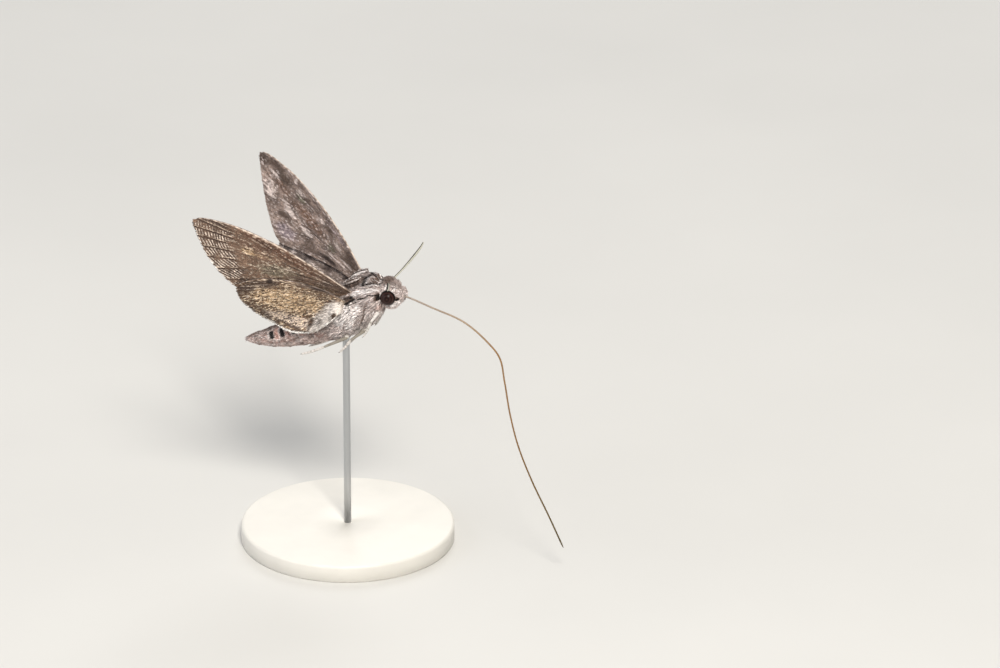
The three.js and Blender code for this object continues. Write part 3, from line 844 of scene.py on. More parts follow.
# A place on a wing is told on a flat sheet, out from the hinge and forward, in lengths of the forewing
wing = {
    "length": 47.7,
    "hinge": 5.3,  # out from the body's middle line
    "hollow": 0.4,  # how strongly a wing cups from front to rear, and the line where it is deepest
    "hollowLine": 0.078,
    "drop": 1.05,  # hindwing under forewing
    "hindScale": 0.61,
    "hindTurn": 18.2,
    "hindRoot": (-0.006, -0.073),
    "clear": 1.0,  # room between a hindwing and the trunk, and the way it swings to get it
    "flare": (0.34, 0.85, 0.4),
    "thickness": 0.1,
    "frontVein": 0.3,
    "ridge": 0.07,  # veins stand out this much
    "ripple": 0.03,
    "vane": 0.62,
    "rootHair": 1.5,  # longer than a vane by this much
    "fringe": 0.5,
    "hub": (-0.12, 0.03),  # the scales lie away from here
    "grainHub": {"forewing": (-0.16, 0.03), "hindwing": (-0.03, 0.0)},
}
wingPose = {
    "left": {"side": 1, "sweep": 64.0, "raise": 35.0, "twist": 35.5, "tipTwist": 2.0, "bend": 0.08},
    "right": {"side": -1, "sweep": 60.6, "raise": 27.3, "twist": 29.1, "tipTwist": 20.8, "bend": 0.127},
}
outlines = {
    "forewing": {
        "front": [(-0.05, -0.01), (0.06, 0.014), (0.2, 0.043), (0.38, 0.067), (0.55, 0.077), (0.75, 0.067),
                  (0.9, 0.038), (0.965, 0.016), (0.995, -0.006), (1, -0.022)],
        "inner": [(-0.05, -0.07), (0.06, -0.085), (0.2, -0.14), (0.36, -0.22), (0.53, -0.315)],
        "outer": [(0.53, -0.315), (0.6, -0.312), (0.7, -0.27), (0.82, -0.195), (0.92, -0.11), (0.98, -0.05),
                  (1, -0.022)],
    },
    "hindwing": {
        "front": [(-0.04, -0.02), (0.2, 0.09), (0.45, 0.13), (0.7, 0.12), (0.9, 0.065), (1.0, -0.01),
                  (1.015, -0.06)],
        "inner": [(-0.03, -0.1), (0.05, -0.3), (0.13, -0.5), (0.22, -0.63), (0.34, -0.69)],
        "outer": [(0.34, -0.69), (0.46, -0.655), (0.59, -0.535), (0.77, -0.405), (0.93, -0.25), (1.0, -0.13),
                  (1.015, -0.06)],
    },
}


def sheetPoint(pose, out, forward, lift):
    a, e = math.radians(pose["sweep"]), math.radians(pose["raise"])
    span = np.array([-math.sin(a) * math.cos(e), math.cos(a) * math.cos(e), math.sin(e)])
    ahead = unit(np.array([1.0, 0, 0]) - span[0] * span)
    above = np.cross(ahead, span)
    turn = np.radians(pose["twist"] + pose["tipTwist"] * out)
    chord = np.cos(turn)[:, None] * ahead + np.sin(turn)[:, None] * above
    normal = np.cos(turn)[:, None] * above - np.sin(turn)[:, None] * ahead
    height = wing["hollow"] * (forward - wing["hollowLine"]) ** 2 + pose["bend"] * out**2
    points = np.array([0, wing["hinge"] / wing["length"], 0]) + out[:, None] * span
    points = points + forward[:, None] * chord + (height + lift / wing["length"])[:, None] * normal
    return mirrored(points * wing["length"], pose["side"])


def swingClear(points, pose, share):
    # the inner part of a hindwing swings clear of the trunk
    flare = mirrored(wing["flare"], pose["side"])
    softness = 0.6
    distance = np.linspace(0, trunk["collarEnd"], 60)
    centres, radii = onAxis(distance, axisPlaces), trunkRadius(distance)
    for _ in range(4):
        room = (np.linalg.norm(points[:, None] - centres[None], axis=2) - radii).min(1)
        lacking = softness * np.log1p(np.exp((wing["clear"] - room) / softness))
        points = points + flare * (lacking * share * 0.8)[:, None]
    return points


def hindToSheet(flat):
    turned = np.stack(rotated(*flat.T, -wing["hindTurn"]), 1)
    return np.array(wing["hindRoot"]) + wing["hindScale"] * turned


def scaleOf(kind):
    return wing["length"] * (1 if kind == "forewing" else wing["hindScale"])


def wingGrid(kind, rows, columns):
    # flat places of a wing from the hinge out and from the front edge back
    front = smoothPath(outlines[kind]["front"], 800, 0.0)
    inner = smoothPath(outlines[kind]["inner"], 400, 0.0)
    outer = smoothPath(outlines[kind]["outer"], 400, 0.0)
    at = np.linspace(0, 0.998, rows)
    corner = 0.52
    rearAt = np.where(at < corner, at / corner * 0.5, 0.5 + (at - corner) / (1 - corner) * 0.5)
    rearLine = np.vstack([inner, outer[1:]])
    lead = readOff(at, np.linspace(0, 1, len(front)), front)
    rear = readOff(rearAt, np.linspace(0, 1, len(rearLine)), rearLine)
    across = np.linspace(0, 1, columns)
    inward = unit(np.array([0.1, -0.05]) - rear)
    drawnIn = wing["fringe"] / wing["length"] if kind == "forewing" else 0.0
    rear = rear + inward * (drawnIn * ease(0.46, 0.6, at))[:, None]
    lead = lead + np.array([-1.0, -0.2]) * (drawnIn * ease(0.94, 1.0, at))[:, None]
    flat = lead[:, None] * (1 - across)[None, :, None] + rear[:, None] * across[None, :, None]
    scallop = 0.004 * np.abs(np.sin(at * 58)) * ease(0.55, 0.62, at) if kind == "forewing" else 0 * at
    flat[:, :, 0] -= scallop[:, None] * across[None, :] ** 6
    return flat.reshape(-1, 2), np.repeat(at, columns), np.tile(across, rows)


# Veins, in the sheet for the forewing and in the wing's own outline for the hindwing
veins = {
    "forewing": [
        [(0, -0.01), (0.25, 0.01), (0.48, 0.02)],
        [(0, 0.0), (0.2, 0.028), (0.45, 0.05), (0.6, 0.058)],
        [(0.38, 0.018), (0.6, 0.045), (0.8, 0.055)],
        [(0.45, 0.02), (0.7, 0.03), (0.9, 0.035)],
        [(0.48, 0.02), (0.75, 0.015), (0.985, 0.005)],
        [(0.48, 0.02), (0.75, -0.01), (0.975, -0.045)],
        [(0.5, -0.01), (0.72, -0.045), (0.935, -0.09)],
        [(0.49, -0.04), (0.7, -0.085), (0.885, -0.14)],
        [(0.46, -0.07), (0.65, -0.125), (0.825, -0.19)],
        [(0.42, -0.085), (0.6, -0.165), (0.745, -0.245)],
        [(0.32, -0.075), (0.5, -0.19), (0.655, -0.295)],
        [(0, -0.03), (0.2, -0.05), (0.42, -0.085), (0.46, -0.07)],
        [(0, -0.045), (0.2, -0.115), (0.4, -0.21), (0.56, -0.31)],
    ],
    "hindwing": [
        [(0, 0.01), (0.3, 0.085), (0.7, 0.1), (0.97, 0.02)],
        [(0, -0.02), (0.35, 0.03), (0.6, 0.035), (1.0, -0.05)],
        [(0.4, 0.0), (0.7, -0.04), (0.99, -0.15)],
        [(0.42, -0.06), (0.7, -0.15), (0.96, -0.22)],
        [(0.4, -0.1), (0.65, -0.23), (0.87, -0.31)],
        [(0.36, -0.12), (0.58, -0.31), (0.77, -0.42)],
        [(0.28, -0.13), (0.46, -0.37), (0.62, -0.54)],
        [(0, -0.04), (0.2, -0.09), (0.4, -0.1)],
        [(0, -0.05), (0.2, -0.33), (0.42, -0.66)],
        [(0, -0.07), (0.1, -0.3), (0.24, -0.63)],
    ],
}
fanVeins = veins["forewing"][4:11]
# the pale dashes between them: slant and strength in each cell, front to rear, and the step in wing lengths
dashTilt = np.radians([66, 60, 52, 42, 30, 17, 8, 6])
dashStrength = np.array([0.3, 0.7, 0.95, 1.0, 1.0, 1.0, 0.9, 0.6])
dashStep = 0.015

# Patches: mark, middle, half sizes, turn in degrees, strength, all in the sheet
patches = {
    "forewingUnder": [
        ("rust", (0.5, 0.045), (0.24, 0.022), 2, 1.0),
        ("rust", (0.64, 0.005), (0.13, 0.02), -3, 0.6),
        ("rust", (0.3, 0.012), (0.16, 0.016), 5, 0.9),
        ("olive", (0.43, -0.09), (0.12, 0.04), -15, 0.85),
        ("olive", (0.14, -0.05), (0.06, 0.02), -10, 0.4),
        ("gold", (0.6, -0.04), (0.09, 0.025), -5, 0.4),
        ("gold", (0.08, -0.035), (0.024, 0.012), -20, 1.0),
        ("plum", (0.87, 0.03), (0.1, 0.014), -14, 0.85),
        ("plum", (0.66, -0.245), (0.09, 0.03), -40, 0.85),
        ("plum", (0.25, -0.055), (0.12, 0.014), -12, 0.7),
        ("plum", (0.16, 0.005), (0.09, 0.008), 8, 0.7),
        ("plum", (0.08, -0.02), (0.09, 0.03), 0, 0.8),
        ("pale", (0.14, 0.03), (0.08, 0.004), 10, 0.9),
        ("pale", (0.17, -0.008), (0.08, 0.003), 2, 0.7),
        ("pale", (0.37, -0.04), (0.035, 0.004), -12, 0.9),
        ("pale", (0.45, -0.02), (0.005, 0.014), 0, 0.6),
        ("pale", (0.5, -0.062), (0.005, 0.014), -20, 0.6),
        ("pale", (0.48, -0.185), (0.045, 0.004), -28, 0.8),
        ("dark", (0.24, -0.03), (0.1, 0.005), -8, 0.8),
        ("dark", (0.36, -0.012), (0.07, 0.004), 0, 0.7),
        ("dark", (0.3, 0.004), (0.12, 0.003), 4, 0.7),
        ("dark", (0.5, -0.2), (0.05, 0.004), -28, 0.7),
    ],
    "hindwingUnder": [
        ("gold", (0.27, -0.25), (0.19, 0.085), -12, 1.0),
        ("gold", (0.15, -0.22), (0.06, 0.05), -30, 0.7),
        ("cream", (0.2, -0.4), (0.13, 0.045), -10, 0.9),
        ("cream", (0.1, -0.43), (0.06, 0.05), 0, 0.8),
        ("rust", (0.13, -0.285), (0.012, 0.05), 0, 0.7),
        ("plum", (0.21, -0.08), (0.17, 0.022), -9, 0.5),
        ("plum", (0.44, -0.19), (0.08, 0.03), -15, 0.7),
        ("plum", (0.53, -0.29), (0.04, 0.08), 10, 0.75),
        ("plum", (0.36, -0.41), (0.09, 0.016), 24, 0.5),
        ("plum", (0.13, -0.475), (0.06, 0.02), 15, 0.7),
        ("dark", (0.16, -0.065), (0.07, 0.007), -9, 0.8),
        # painted shade under the front edge: a dark spot right at it
        ("dark", (0.44, -0.165), (0.014, 0.02), 0, 1.0),
        ("dark", (0.21, -0.24), (0.03, 0.005), -6, 0.7),
        ("dark", (0.22, -0.3), (0.012, 0.006), 0, 0.8),
        ("dark", (0.33, -0.24), (0.025, 0.005), -10, 0.7),
        ("pale", (0.2, -0.045), (0.08, 0.005), -9, 0.6),
        ("pale", (0.49, -0.34), (0.01, 0.014), 0, 0.9),
        ("white", (0.01, -0.16), (0.05, 0.06), -10, 1.0),
        ("white", (0.01, -0.33), (0.055, 0.16), -6, 1.0),
        ("shadow", (-0.024, -0.25), (0.014, 0.05), -22, 1.0),
        ("shadow", (0.022, -0.335), (0.009, 0.04), -21, 0.8),
        ("shadow", (0.062, -0.37), (0.013, 0.05), -16, 1.0),
    ],
    "forewingUpper": [
        ("pale", (0.19, -0.085), (0.07, 0.006), -12, 0.9),
        ("pale", (0.14, -0.05), (0.06, 0.008), -10, 0.8),
        ("pale", (0.24, -0.02), (0.05, 0.014), 5, 0.6),
        ("pale", (0.44, 0.005), (0.03, 0.015), -8, 0.9),
        ("pale", (0.47, -0.135), (0.045, 0.014), -6, 0.75),
        ("pale", (0.63, -0.13), (0.075, 0.018), 4, 0.8),
        ("pale", (0.64, 0.02), (0.035, 0.014), -10, 0.8),
        ("pale", (0.71, 0.045), (0.014, 0.012), 20, 0.9),
        ("pale", (0.82, -0.125), (0.06, 0.034), 30, 0.75),
        ("pale", (0.86, -0.035), (0.05, 0.01), -6, 0.7),
        ("lilac", (0.56, -0.24), (0.08, 0.035), -10, 1.0),
        ("lilac", (0.3, 0.03), (0.1, 0.014), 5, 0.6),
        ("rust", (0.5, -0.06), (0.12, 0.03), -2, 1.0),
        ("rust", (0.74, -0.06), (0.055, 0.03), 10, 0.9),
        ("rust", (0.87, -0.075), (0.05, 0.01), 5, 0.7),
        ("olive", (0.62, -0.01), (0.035, 0.018), 0, 0.8),
        ("olive", (0.28, -0.06), (0.04, 0.016), 0, 0.7),
        ("umber", (0.65, -0.185), (0.03, 0.016), -15, 0.9),
        ("umber", (0.77, -0.015), (0.04, 0.024), 10, 0.7),
        ("umber", (0.86, 0.02), (0.08, 0.022), -16, 0.7),
        ("umber", (0.38, -0.18), (0.06, 0.02), -20, 0.6),
        ("umber", (0.57, 0.035), (0.02, 0.02), 20, 0.6),
        ("umber", (0.36, 0.0), (0.03, 0.012), 0, 0.5),
        ("umber", (0.14, -0.02), (0.12, 0.05), 0, 0.65),
        ("dark", (0.385, -0.095), (0.05, 0.003), -12, 0.9),
        ("dark", (0.24, -0.13), (0.06, 0.012), -14, 0.9),
        ("dark", (0.93, 0.012), (0.07, 0.003), -22, 0.7),
    ],
    "hindwingUpper": [
        ("dark", (0.4, -0.285), (0.03, 0.016), -30, 0.6),
        ("umber", (0.3, -0.235), (0.07, 0.01), -20, 0.7),
        ("pale", (0.47, -0.29), (0.03, 0.03), 0, 0.7),
        ("pale", (0.34, -0.26), (0.06, 0.012), -20, 0.7),
    ],
}


wingMarkNames = ["rust", "gold", "olive", "plum", "cream", "pale", "white", "shadow", "dark", "umber"]
wingMarkNames += ["lilac", "dash", "phase", "vein", "lineDark", "linePale", "edge"]


def patchMarks(points, listed):
    marks = {name: np.zeros(len(points)) for name in wingMarkNames}
    for name, middle, half, degrees, strength in listed:
        along, aside = rotated(*(points - middle).T, -degrees)
        addMark(marks, name, strength * ease(1.8, 0.3, np.hypot(along / half[0], aside / half[1])))
    return marks


def veinMark(points, lines):
    # signed distance in sheet lengths to the nearest vein
    nearest, sign = np.full(len(points), 9.0), np.ones(len(points))
    for line in lines:
        away, side = strokeDistance(points, smoothPath(line, 16))
        sign = np.where(away < nearest, side, sign)
        nearest = np.minimum(away, nearest)
    return nearest, sign


def wingMarks(kind, surface, flat, sheet, at, across):
    marks = patchMarks(sheet, patches[kind + surface])
    nearest, sign = veinMark(flat, veins[kind])
    mm = nearest * scaleOf(kind)
    marks["vein"] = np.clip(mm * sign, -3, 3)
    x, y = sheet[:, 0], sheet[:, 1]
    if kind == "forewing" and surface == "Under":
        cell = np.zeros(len(sheet), int)
        for line in fanVeins:
            cell += y < np.interp(x, *np.array(line).T)
        tilt = dashTilt[cell]
        phase = (y * np.cos(tilt) - x * np.sin(tilt)) / dashStep + cell * 0.37 + 0.12 * np.sin(x * 47 + cell)
        broken = 0.8 + 0.3 * np.sin(x * 83 + cell * 2.1)
        edge = np.clip(0.77 - 1.25 * np.maximum(0, -y - 0.05), 0.5, 1)
        zone = ease(-0.05, 0.06, x - edge) * ease(0.045, 0.02, y) * ease(0.995, 0.97, x)
        marks["phase"] = phase
        marks["dash"] = np.clip(zone * ease(0.25, 0.5, mm) * dashStrength[cell] * broken, 0, 1)
        addMark(marks, "plum", 0.6 * zone)
        marks["lineDark"] = 0.5 + 0.3 * zone
        marks["linePale"] = 0.25 + 0.45 * zone
        rays = np.abs(np.sin(np.arctan2(y - 0.03, x + 0.16) * 105 + 2 * np.sin(x * 9)))
        addMark(marks, "pale", 0.3 * ease(0.9, 1.0, rays) * (1 - zone) * ease(0.05, 0.3, x))
        addMark(marks, "pale", ease(0.022, 0.008, across) * (0.65 + 0.35 * np.sin(at * 160)))
    elif kind == "forewing":
        marks["lineDark"] = marks["lineDark"] + 0.4
        addMark(marks, "pale", 0.2 * ease(0.06, 0.02, across))
        for shift in (0.0, 0.025, 0.05):  # wavy cross lines of the upper side
            wave = x - 0.36 - shift - 0.35 * (y + 0.05) ** 2 + 0.008 * np.sin(y * 95)
            addMark(marks, "umber", 0.4 * ease(0.008, 0.003, np.abs(wave)))
            wave = x - 0.71 - shift + 0.9 * (y + 0.08) ** 2 + 0.009 * np.sin(y * 110 + 1)
            addMark(marks, "umber", 0.45 * ease(0.008, 0.003, np.abs(wave)))
    elif surface == "Upper":
        rim = np.hypot(flat[:, 0], flat[:, 1])
        bands = [(0.22, 0.1, 0.4), (0.5, 0.07, 0.5), (0.72, 0.06, 0.5), (0.93, 0.06, 0.6)]
        for centre, half, strength in bands:
            off = np.abs(rim - centre * (0.75 + 0.25 * ease(0.0, 1.0, at)) - 0.01 * np.sin(at * 60))
            addMark(marks, "dark", strength * ease(half, half * 0.4, off))
    else:
        marks["lineDark"] = 0.45 * ease(0.03, 0.12, x)
        marks["linePale"] = 0.35 * ease(0.05, 0.15, x)
        rays = np.abs(np.sin(np.arctan2(y, x + 0.03) * 60 + 3 * np.sin(x * 14)))
        addMark(marks, "pale", 0.35 * ease(0.86, 1.0, rays) * ease(0.03, 0.1, x))
    if kind == "hindwing":  # bright along the rear, dull towards the apex
        brightness = 0.45 + 0.55 * ease(0.78, 0.62, at)
        marks["edge"] = ease(0.945, 0.955, across) * ease(0.06, 0.2, at) * brightness
        # painted shadow: a dark line just inside the white rear edge, under that edge
        inside = ease(0.9, 0.925, across) * ease(0.95, 0.935, across) * ease(0.1, 0.25, at)
        addMark(marks, "plum", 0.8 * inside)
    else:
        marks["edge"] = ease(0.98, 0.992, across) * ease(0.52, 0.6, at) * (0.6 + 0.4 * np.sin(at * 117))
    away = (sheet - wing["grainHub"][kind]) * wing["length"]
    reach, angle = np.linalg.norm(away, axis=1), np.arctan2(away[:, 1], away[:, 0])
    marks["lie"] = np.stack([reach, angle * 26, np.full(len(sheet), 3.0 if surface == "Upper" else 11.0)], 1)
    return marks


underLook = {
    "layers": [
        ("olive", "#857a68"),
        ("gold", "#d6b690"),
        ("rust", "#70503f"),
        ("cream", "#e8d5c8"),
    ],
    "lines": [
        ("plum", "#5b4a41"),
        ("pale", "#d6c5b6"),
        ("white", "#e6ddd6"),
        ("lineDark", "#4c392f"),
        ("linePale", "#cbb8a6"),
        ("dark", "#33251f"),
        ("dash", "#e0d0c2"),
        ("shadow", "#513d2f"),
        ("edge", "#f4efea"),
    ],
}
upperLook = {
    "layers": [
        ("rust", "#7a5f50"),
        ("olive", "#75705f"),
        ("lilac", "#94868a"),
    ],
    "lines": [
        ("umber", "#5a4b43"),
        ("pale", "#d8cac5"),
        ("lineDark", "#4c3d37"),
        ("dark", "#352926"),
        ("edge", "#a3968f"),
    ],
}
# Overlapping wing scales: satin rather than matt, sprinkled with single paler and darker scales
wingBase = {
    "veined": True,
    "flecks": [(0.12, 0.75, "#ead9c7"), (-0.12, -0.75, "#43332a")],
    "fleckShare": 0.6,
    "ragged": 0.3,
    "streak": (0.35, 2.7, 1.0),
    "speck": (0.9, 2.2, 1.0),
    "cloud": (0.25, 0.45, 1.0),
    "mottle": 1.0,
    "vary": 0.22,
    "grain": 0.25,
    "bump": 0.35,
    "depth": 0.0001,
    "surface": {"Roughness": 0.55, "Specular IOR Level": 0.3, "Sheen Weight": 0.05},
}
# The upper side is duller and greyer than the underside
upperBase = {
    **wingBase,
    **upperLook,
    "flecks": [(0.12, 0.75, "#dccfcb"), (-0.12, -0.75, "#3b302d")],
    "surface": {**wingBase["surface"], "Roughness": 0.62},
}
wingLooks = {
    "forewingUnder": {**wingBase, **underLook, "base": "#9c7f6b", "second": "#594436", "fleckShare": 0.38},
    "hindwingUnder": {
        **wingBase,
        **underLook,
        "base": "#97795f",
        "second": "#523e31",
        "flecks": [(0.05, 0.5, "#fae6cb"), (-0.1, -0.55, "#44322a")],
        "fleckShare": 0.78,
    },
    "forewingUpper": {**upperBase, "base": "#a8948a", "second": "#4a3b34", "fleckShare": 0.55},
    "hindwingUpper": {**upperBase, "base": "#9a8a81", "second": "#63534c"},
}
wingFinishes = {name: scaleFinish(f"{name}Scales", look) for name, look in wingLooks.items()}
gridSizes = {"forewing": (190, 70), "hindwing": (130, 76)}


def wingSurface(kind, surface, pose):
    # a wing's shell of one side, its outer face for the vanes to stand on, and what varies over that face
    rows, columns = gridSizes[kind]
    flat, at, across = wingGrid(kind, rows, columns)
    sheet = flat if kind == "forewing" else hindToSheet(flat)
    marks = wingMarks(kind, surface, flat, sheet, at, across)
    up = 1 if surface == "Upper" else -1
    lift = 0.0 if kind == "forewing" else -wing["drop"]
    ridge = wing["ridge"] * ease(0.4, 0.05, np.abs(marks["vein"])) * up
    ripple = wing["ripple"] * np.sin(at * 40 + across * 9)
    half = wing["thickness"] + wing["frontVein"] * ease(0.06, 0.0, across) * (1 - 0.6 * at)
    outer = sheetPoint(pose, *sheet.T, lift + up * half + ridge + ripple)
    inner = sheetPoint(pose, *sheet.T, lift + ripple)
    middle = sheetPoint(pose, *sheet.T, lift)
    if kind == "hindwing":
        shift = swingClear(middle, pose, ease(0, 0.12, at)) - middle
        outer, inner = outer + shift, inner + shift
    count = len(flat)
    face = gridFaces(rows, columns)
    border = np.concatenate([
        np.arange(columns),
        np.arange(2, rows) * columns - 1,
        [rows * columns - 1],
        (rows - 1) * columns + np.arange(columns - 2, -1, -1),
        np.arange(rows - 2, 0, -1) * columns,
    ])
    nextOne = np.roll(border, -1)
    faces = [face[:, ::-1], face + count, np.stack([border, nextOne, nextOne + count, border + count], 1)]
    if up * pose["side"] > 0:
        faces = [one[:, ::-1] for one in faces]
    made = part(np.vstack([outer, inner]), faces)
    marks["shade"] = np.zeros(count)
    made["marks"] = {name: np.concatenate([values, values]) for name, values in marks.items()}
    tips = sheetPoint(pose, *(sheet + 0.01 * unit(sheet - wing["hub"])).T, lift)
    haired = marks["white"] * (surface == "Under")
    fields = {
        **marks,
        "normal": unit(outer - inner),
        "lay": unit(tips - middle),
        "map": (sheet - [-0.1, -0.6]) * 0.8 + 0.05,
        "length": wing["vane"] + wing["rootHair"] * haired,
        "rise": 0.09 - 0.03 * haired,
        "across": across,
        "at": at,
        "sheet": sheet,
    }
    return made, part(outer, faces[:1]), fields


def flatOf(kind, sheet):
    if kind == "forewing":
        return sheet
    return np.stack(rotated(*((sheet - wing["hindRoot"]) / wing["hindScale"]).T, wing["hindTurn"]), 1)


def vaneLayer(kind, surface, pose, shell, fields, density, look, dice):
    # vanes over a wing, marked at every corner so that a line crosses them where it lies
    roots = scatter(shell, fields, density, dice)
    vanes = locks(roots, look, dice, ("lie",))
    ahead = unit(roots["sheet"] - wing["hub"])
    aside = np.stack([-ahead[:, 1], ahead[:, 0]], 1)
    here = sheetPoint(pose, *roots["sheet"].T, 0.0)
    there = sheetPoint(pose, *(roots["sheet"] + 0.01 * aside).T, 0.0)
    turned = np.sign(((there - here) * np.cross(unit(roots["normal"]), unit(roots["lay"]))).sum(1))
    along, across = vanes.pop("offsets").T / wing["length"]
    sheet, ahead, aside, turned, at, share = (
        np.repeat(values, lockPoints, axis=0)
        for values in (roots["sheet"], ahead, aside, turned, roots["at"], roots["across"])
    )
    sheet = sheet + along[:, None] * ahead
    sheet = sheet + (across * turned)[:, None] * aside
    vanes["marks"] = {**wingMarks(kind, surface, flatOf(kind, sheet), sheet, at, share), **vanes["marks"]}
    return vanes


wingFaces = [(kind, surface) for kind in gridSizes for surface in ("Upper", "Under")]
vaneLook = {"perArea": 12.0, "width": 0.34, "stray": 0.12, "sunk": 0.03}
fringeLook = {"perArea": 90.0, "width": 0.26, "stray": 0.1, "sunk": 0.02}
for name, pose in wingPose.items():
    for kind, surface in wingFaces:
        made, shell, fields = wingSurface(kind, surface, pose)
        finish = wingFinishes[kind + surface]
        replaced = [f"{kind}_{name}"] if surface == "Upper" else []
        place(f"{kind}{surface}_{name}", made, finish, replaced)
        dice = np.random.default_rng(len(kind) * 7 + len(name) * 3 + (surface == "Upper"))
        density = vaneLook["perArea"] * (fields["across"] > 0.05) * (fields["across"] < 0.97)
        vanes = vaneLayer(kind, surface, pose, shell, fields, density, vaneLook, dice)
        fields["length"] = np.full(len(fields["at"]), wing["fringe"])
        fields["rise"] = fields["rise"] * 0.2
        rim = (fields["across"] > 0.985) * ease(0.0, 0.1, fields["at"])
        density = rim * fringeLook["perArea"]
        fringe = vaneLayer(kind, surface, pose, shell, fields, density, fringeLook, dice)
        place(f"{kind}{surface}Vanes_{name}", joined([vanes, fringe]), finish)
print("wings done")

# Feelers, tongue and legs


def tubeFinish(name, look):
    material, add = newFinish(name)
    ramp = add("ValToRGB", links={0: add("Attribute", {"attribute_name": look["mark"]}, give="Fac")})
    setStops(ramp, look["stops"])
    spot = add("TexCoord", give="Object")
    noise = add("TexNoise", {"Scale": look["scale"], "Detail": 3.0}, {"Vector": spot})
    tones = {**noiseSpan, "To Min": 1 - look["vary"], "To Max": 1 + look["vary"]}
    value = add("MapRange", tones, {"Value": noise})
    colour = add("HueSaturation", links={"Value": value, "Color": ramp})
    bump = add("Bump", {"Strength": look["bump"], "Distance": 0.0001}, {"Height": noise})
    shader = add("BsdfPrincipled", look["surface"], {"Base Color": colour, "Normal": bump})
    add("OutputMaterial", links={"Surface": shader})
    return material


antenna = {
    "root": (10.2, 2.0, 2.6),
    "reach": {"left": (2.4, 16.1, 4.7), "right": (6.2, -15.6, 4.9)},
    "radii": [0.3, 0.27, 0.29, 0.34, 0.38, 0.36, 0.2],
    "bow": {"left": 2.2, "right": 0.3},
    "segments": 46,
}
# scaled rod, pale on its leading side and brown behind
feelerFinish = tubeFinish("scaledFeeler", {
    "mark": "pale",
    "stops": [(0.3, "#211813"), (0.6, "#bdbbad")],
    "scale": 3000.0,
    "vary": 0.12,
    "bump": 0.2,
    "surface": {"Roughness": 0.6, "Specular IOR Level": 0.3},
})
for name, side in sides.items():
    root = mirrored(antenna["root"], side)
    steps = antenna["segments"] * 4
    at = np.array([-0.08, 0.25, 0.6, 0.9, 1.0])
    points = root + at[:, None] * np.array(antenna["reach"][name])
    points[:, 0] += antenna["bow"][name] * at * (1 - at)
    points[:, 2] += np.where(at > 0.95, 0.35, 0.8 * at * (1 - at))
    path = smoothPath(points, steps)
    wave = np.linspace(0, antenna["segments"], steps) % 1
    radii = alongList(antenna["radii"], steps) * (0.9 + 0.12 * np.sin(np.pi * wave))
    radii *= np.sqrt(np.clip((1 - np.linspace(0, 1, steps)) * 40, 0.02, 1))
    rod = tube(path, radii, 12)
    facing = rod["marks"].pop("facing") @ np.array([0.96, 0, -0.1])
    rod["marks"]["pale"] = 0.5 + 0.5 * np.clip((facing - 0.22) * 4, -1, 1)
    place(f"feeler_{name}", rod, feelerFinish, [f"antenna_{name}"])

tongue = {
    "path": [(12.6, -1.2), (15.2, -1.5), (22.4, -3.5), (31.8, -6.3), (38.6, -11.0), (42.5, -15.4),
             (44.0, -22.4), (45.6, -31.8), (48.0, -41.0), (52.0, -50.8), (57.2, -61.0), (61.6, -70.0)],
    "radii": (0.28, 0.22),
    "rings": 170,
}
# waxy cuticle: satin, ringed, greyer near the head and amber further down; the paler root is partly painted
# light and the darker tip partly painted shade
tongueFinish = tubeFinish("waxyTongue", {
    "mark": "share",
    # paler root partly painted light, darker tip partly painted shade
    "stops": [
        (0.0, "#968b82"),
        (0.2, "#937f69"),
        (0.34, "#8c6b45"),
        (0.6, "#7d5a2e"),
        (0.85, "#5f4c25"),
        (1.0, "#4b4020"),
    ],
    "scale": 1800.0,
    "vary": 0.15,
    "bump": 0.15,
    "surface": {"Roughness": 0.38, "Specular IOR Level": 0.45},
})
steps = 520
path = smoothPath([(x, 0, z) for x, z in tongue["path"]], steps)
at = np.linspace(0, 1, steps)
radii = tongue["radii"][0] + (tongue["radii"][1] - tongue["radii"][0]) * np.minimum(1, at * 1.6)
radii *= 0.96 + 0.05 * np.sin(np.linspace(0, tongue["rings"] * 2 * np.pi, steps))
radii *= np.sqrt(np.clip((1 - at) * 60, 0.02, 1))
# two grooved halves zipped side by side
strand = joined([tube(path + (0, shift, 0), radii * 0.86, 14) for shift in (-0.08, 0.08)])
strand["marks"].pop("facing")
place("tongue", strand, tongueFinish, ["proboscis_base", "proboscis_middle", "proboscis_end"])

legs = {
    "leg_front": [(3.4, 2.2, -9.0), (7.9, 3.7, -5.7), (5.7, 4.2, -9.0), (3.7, 4.4, -13.3)],
    "leg_middle": [(-0.2, 2.2, -12.6), (4.0, 2.8, -11.8), (-0.7, 3.1, -15.7), (-4.0, 3.0, -19.8)],
    "leg_hind": [(-3.0, 2.4, -14.4), (-1.2, 4.3, -14.5), (-8.6, 3.5, -18.9), (-15.5, 3.0, -22.3)],
}
# scaled shank: pale cream scales over brown, rubbed thin at the joints
legFinish = tubeFinish("scaledLeg", {
    "mark": "pale",
    "stops": [(0.0, "#574d45"), (0.5, "#8f887d"), (1.0, "#e4dfdb")],
    "scale": 2600.0,
    "vary": 0.16,
    "bump": 0.3,
    "surface": {"Roughness": 0.65, "Specular IOR Level": 0.25},
})


def limbPart(start, end, radii, pale, steps=26, around=12):
    path = np.linspace(start, end, steps)
    drawn = alongList(radii, steps) * np.sqrt(1 - np.linspace(-0.99, 0.99, steps) ** 24)
    return tube(path, drawn, around, marks={"pale": alongList(pale, steps)})


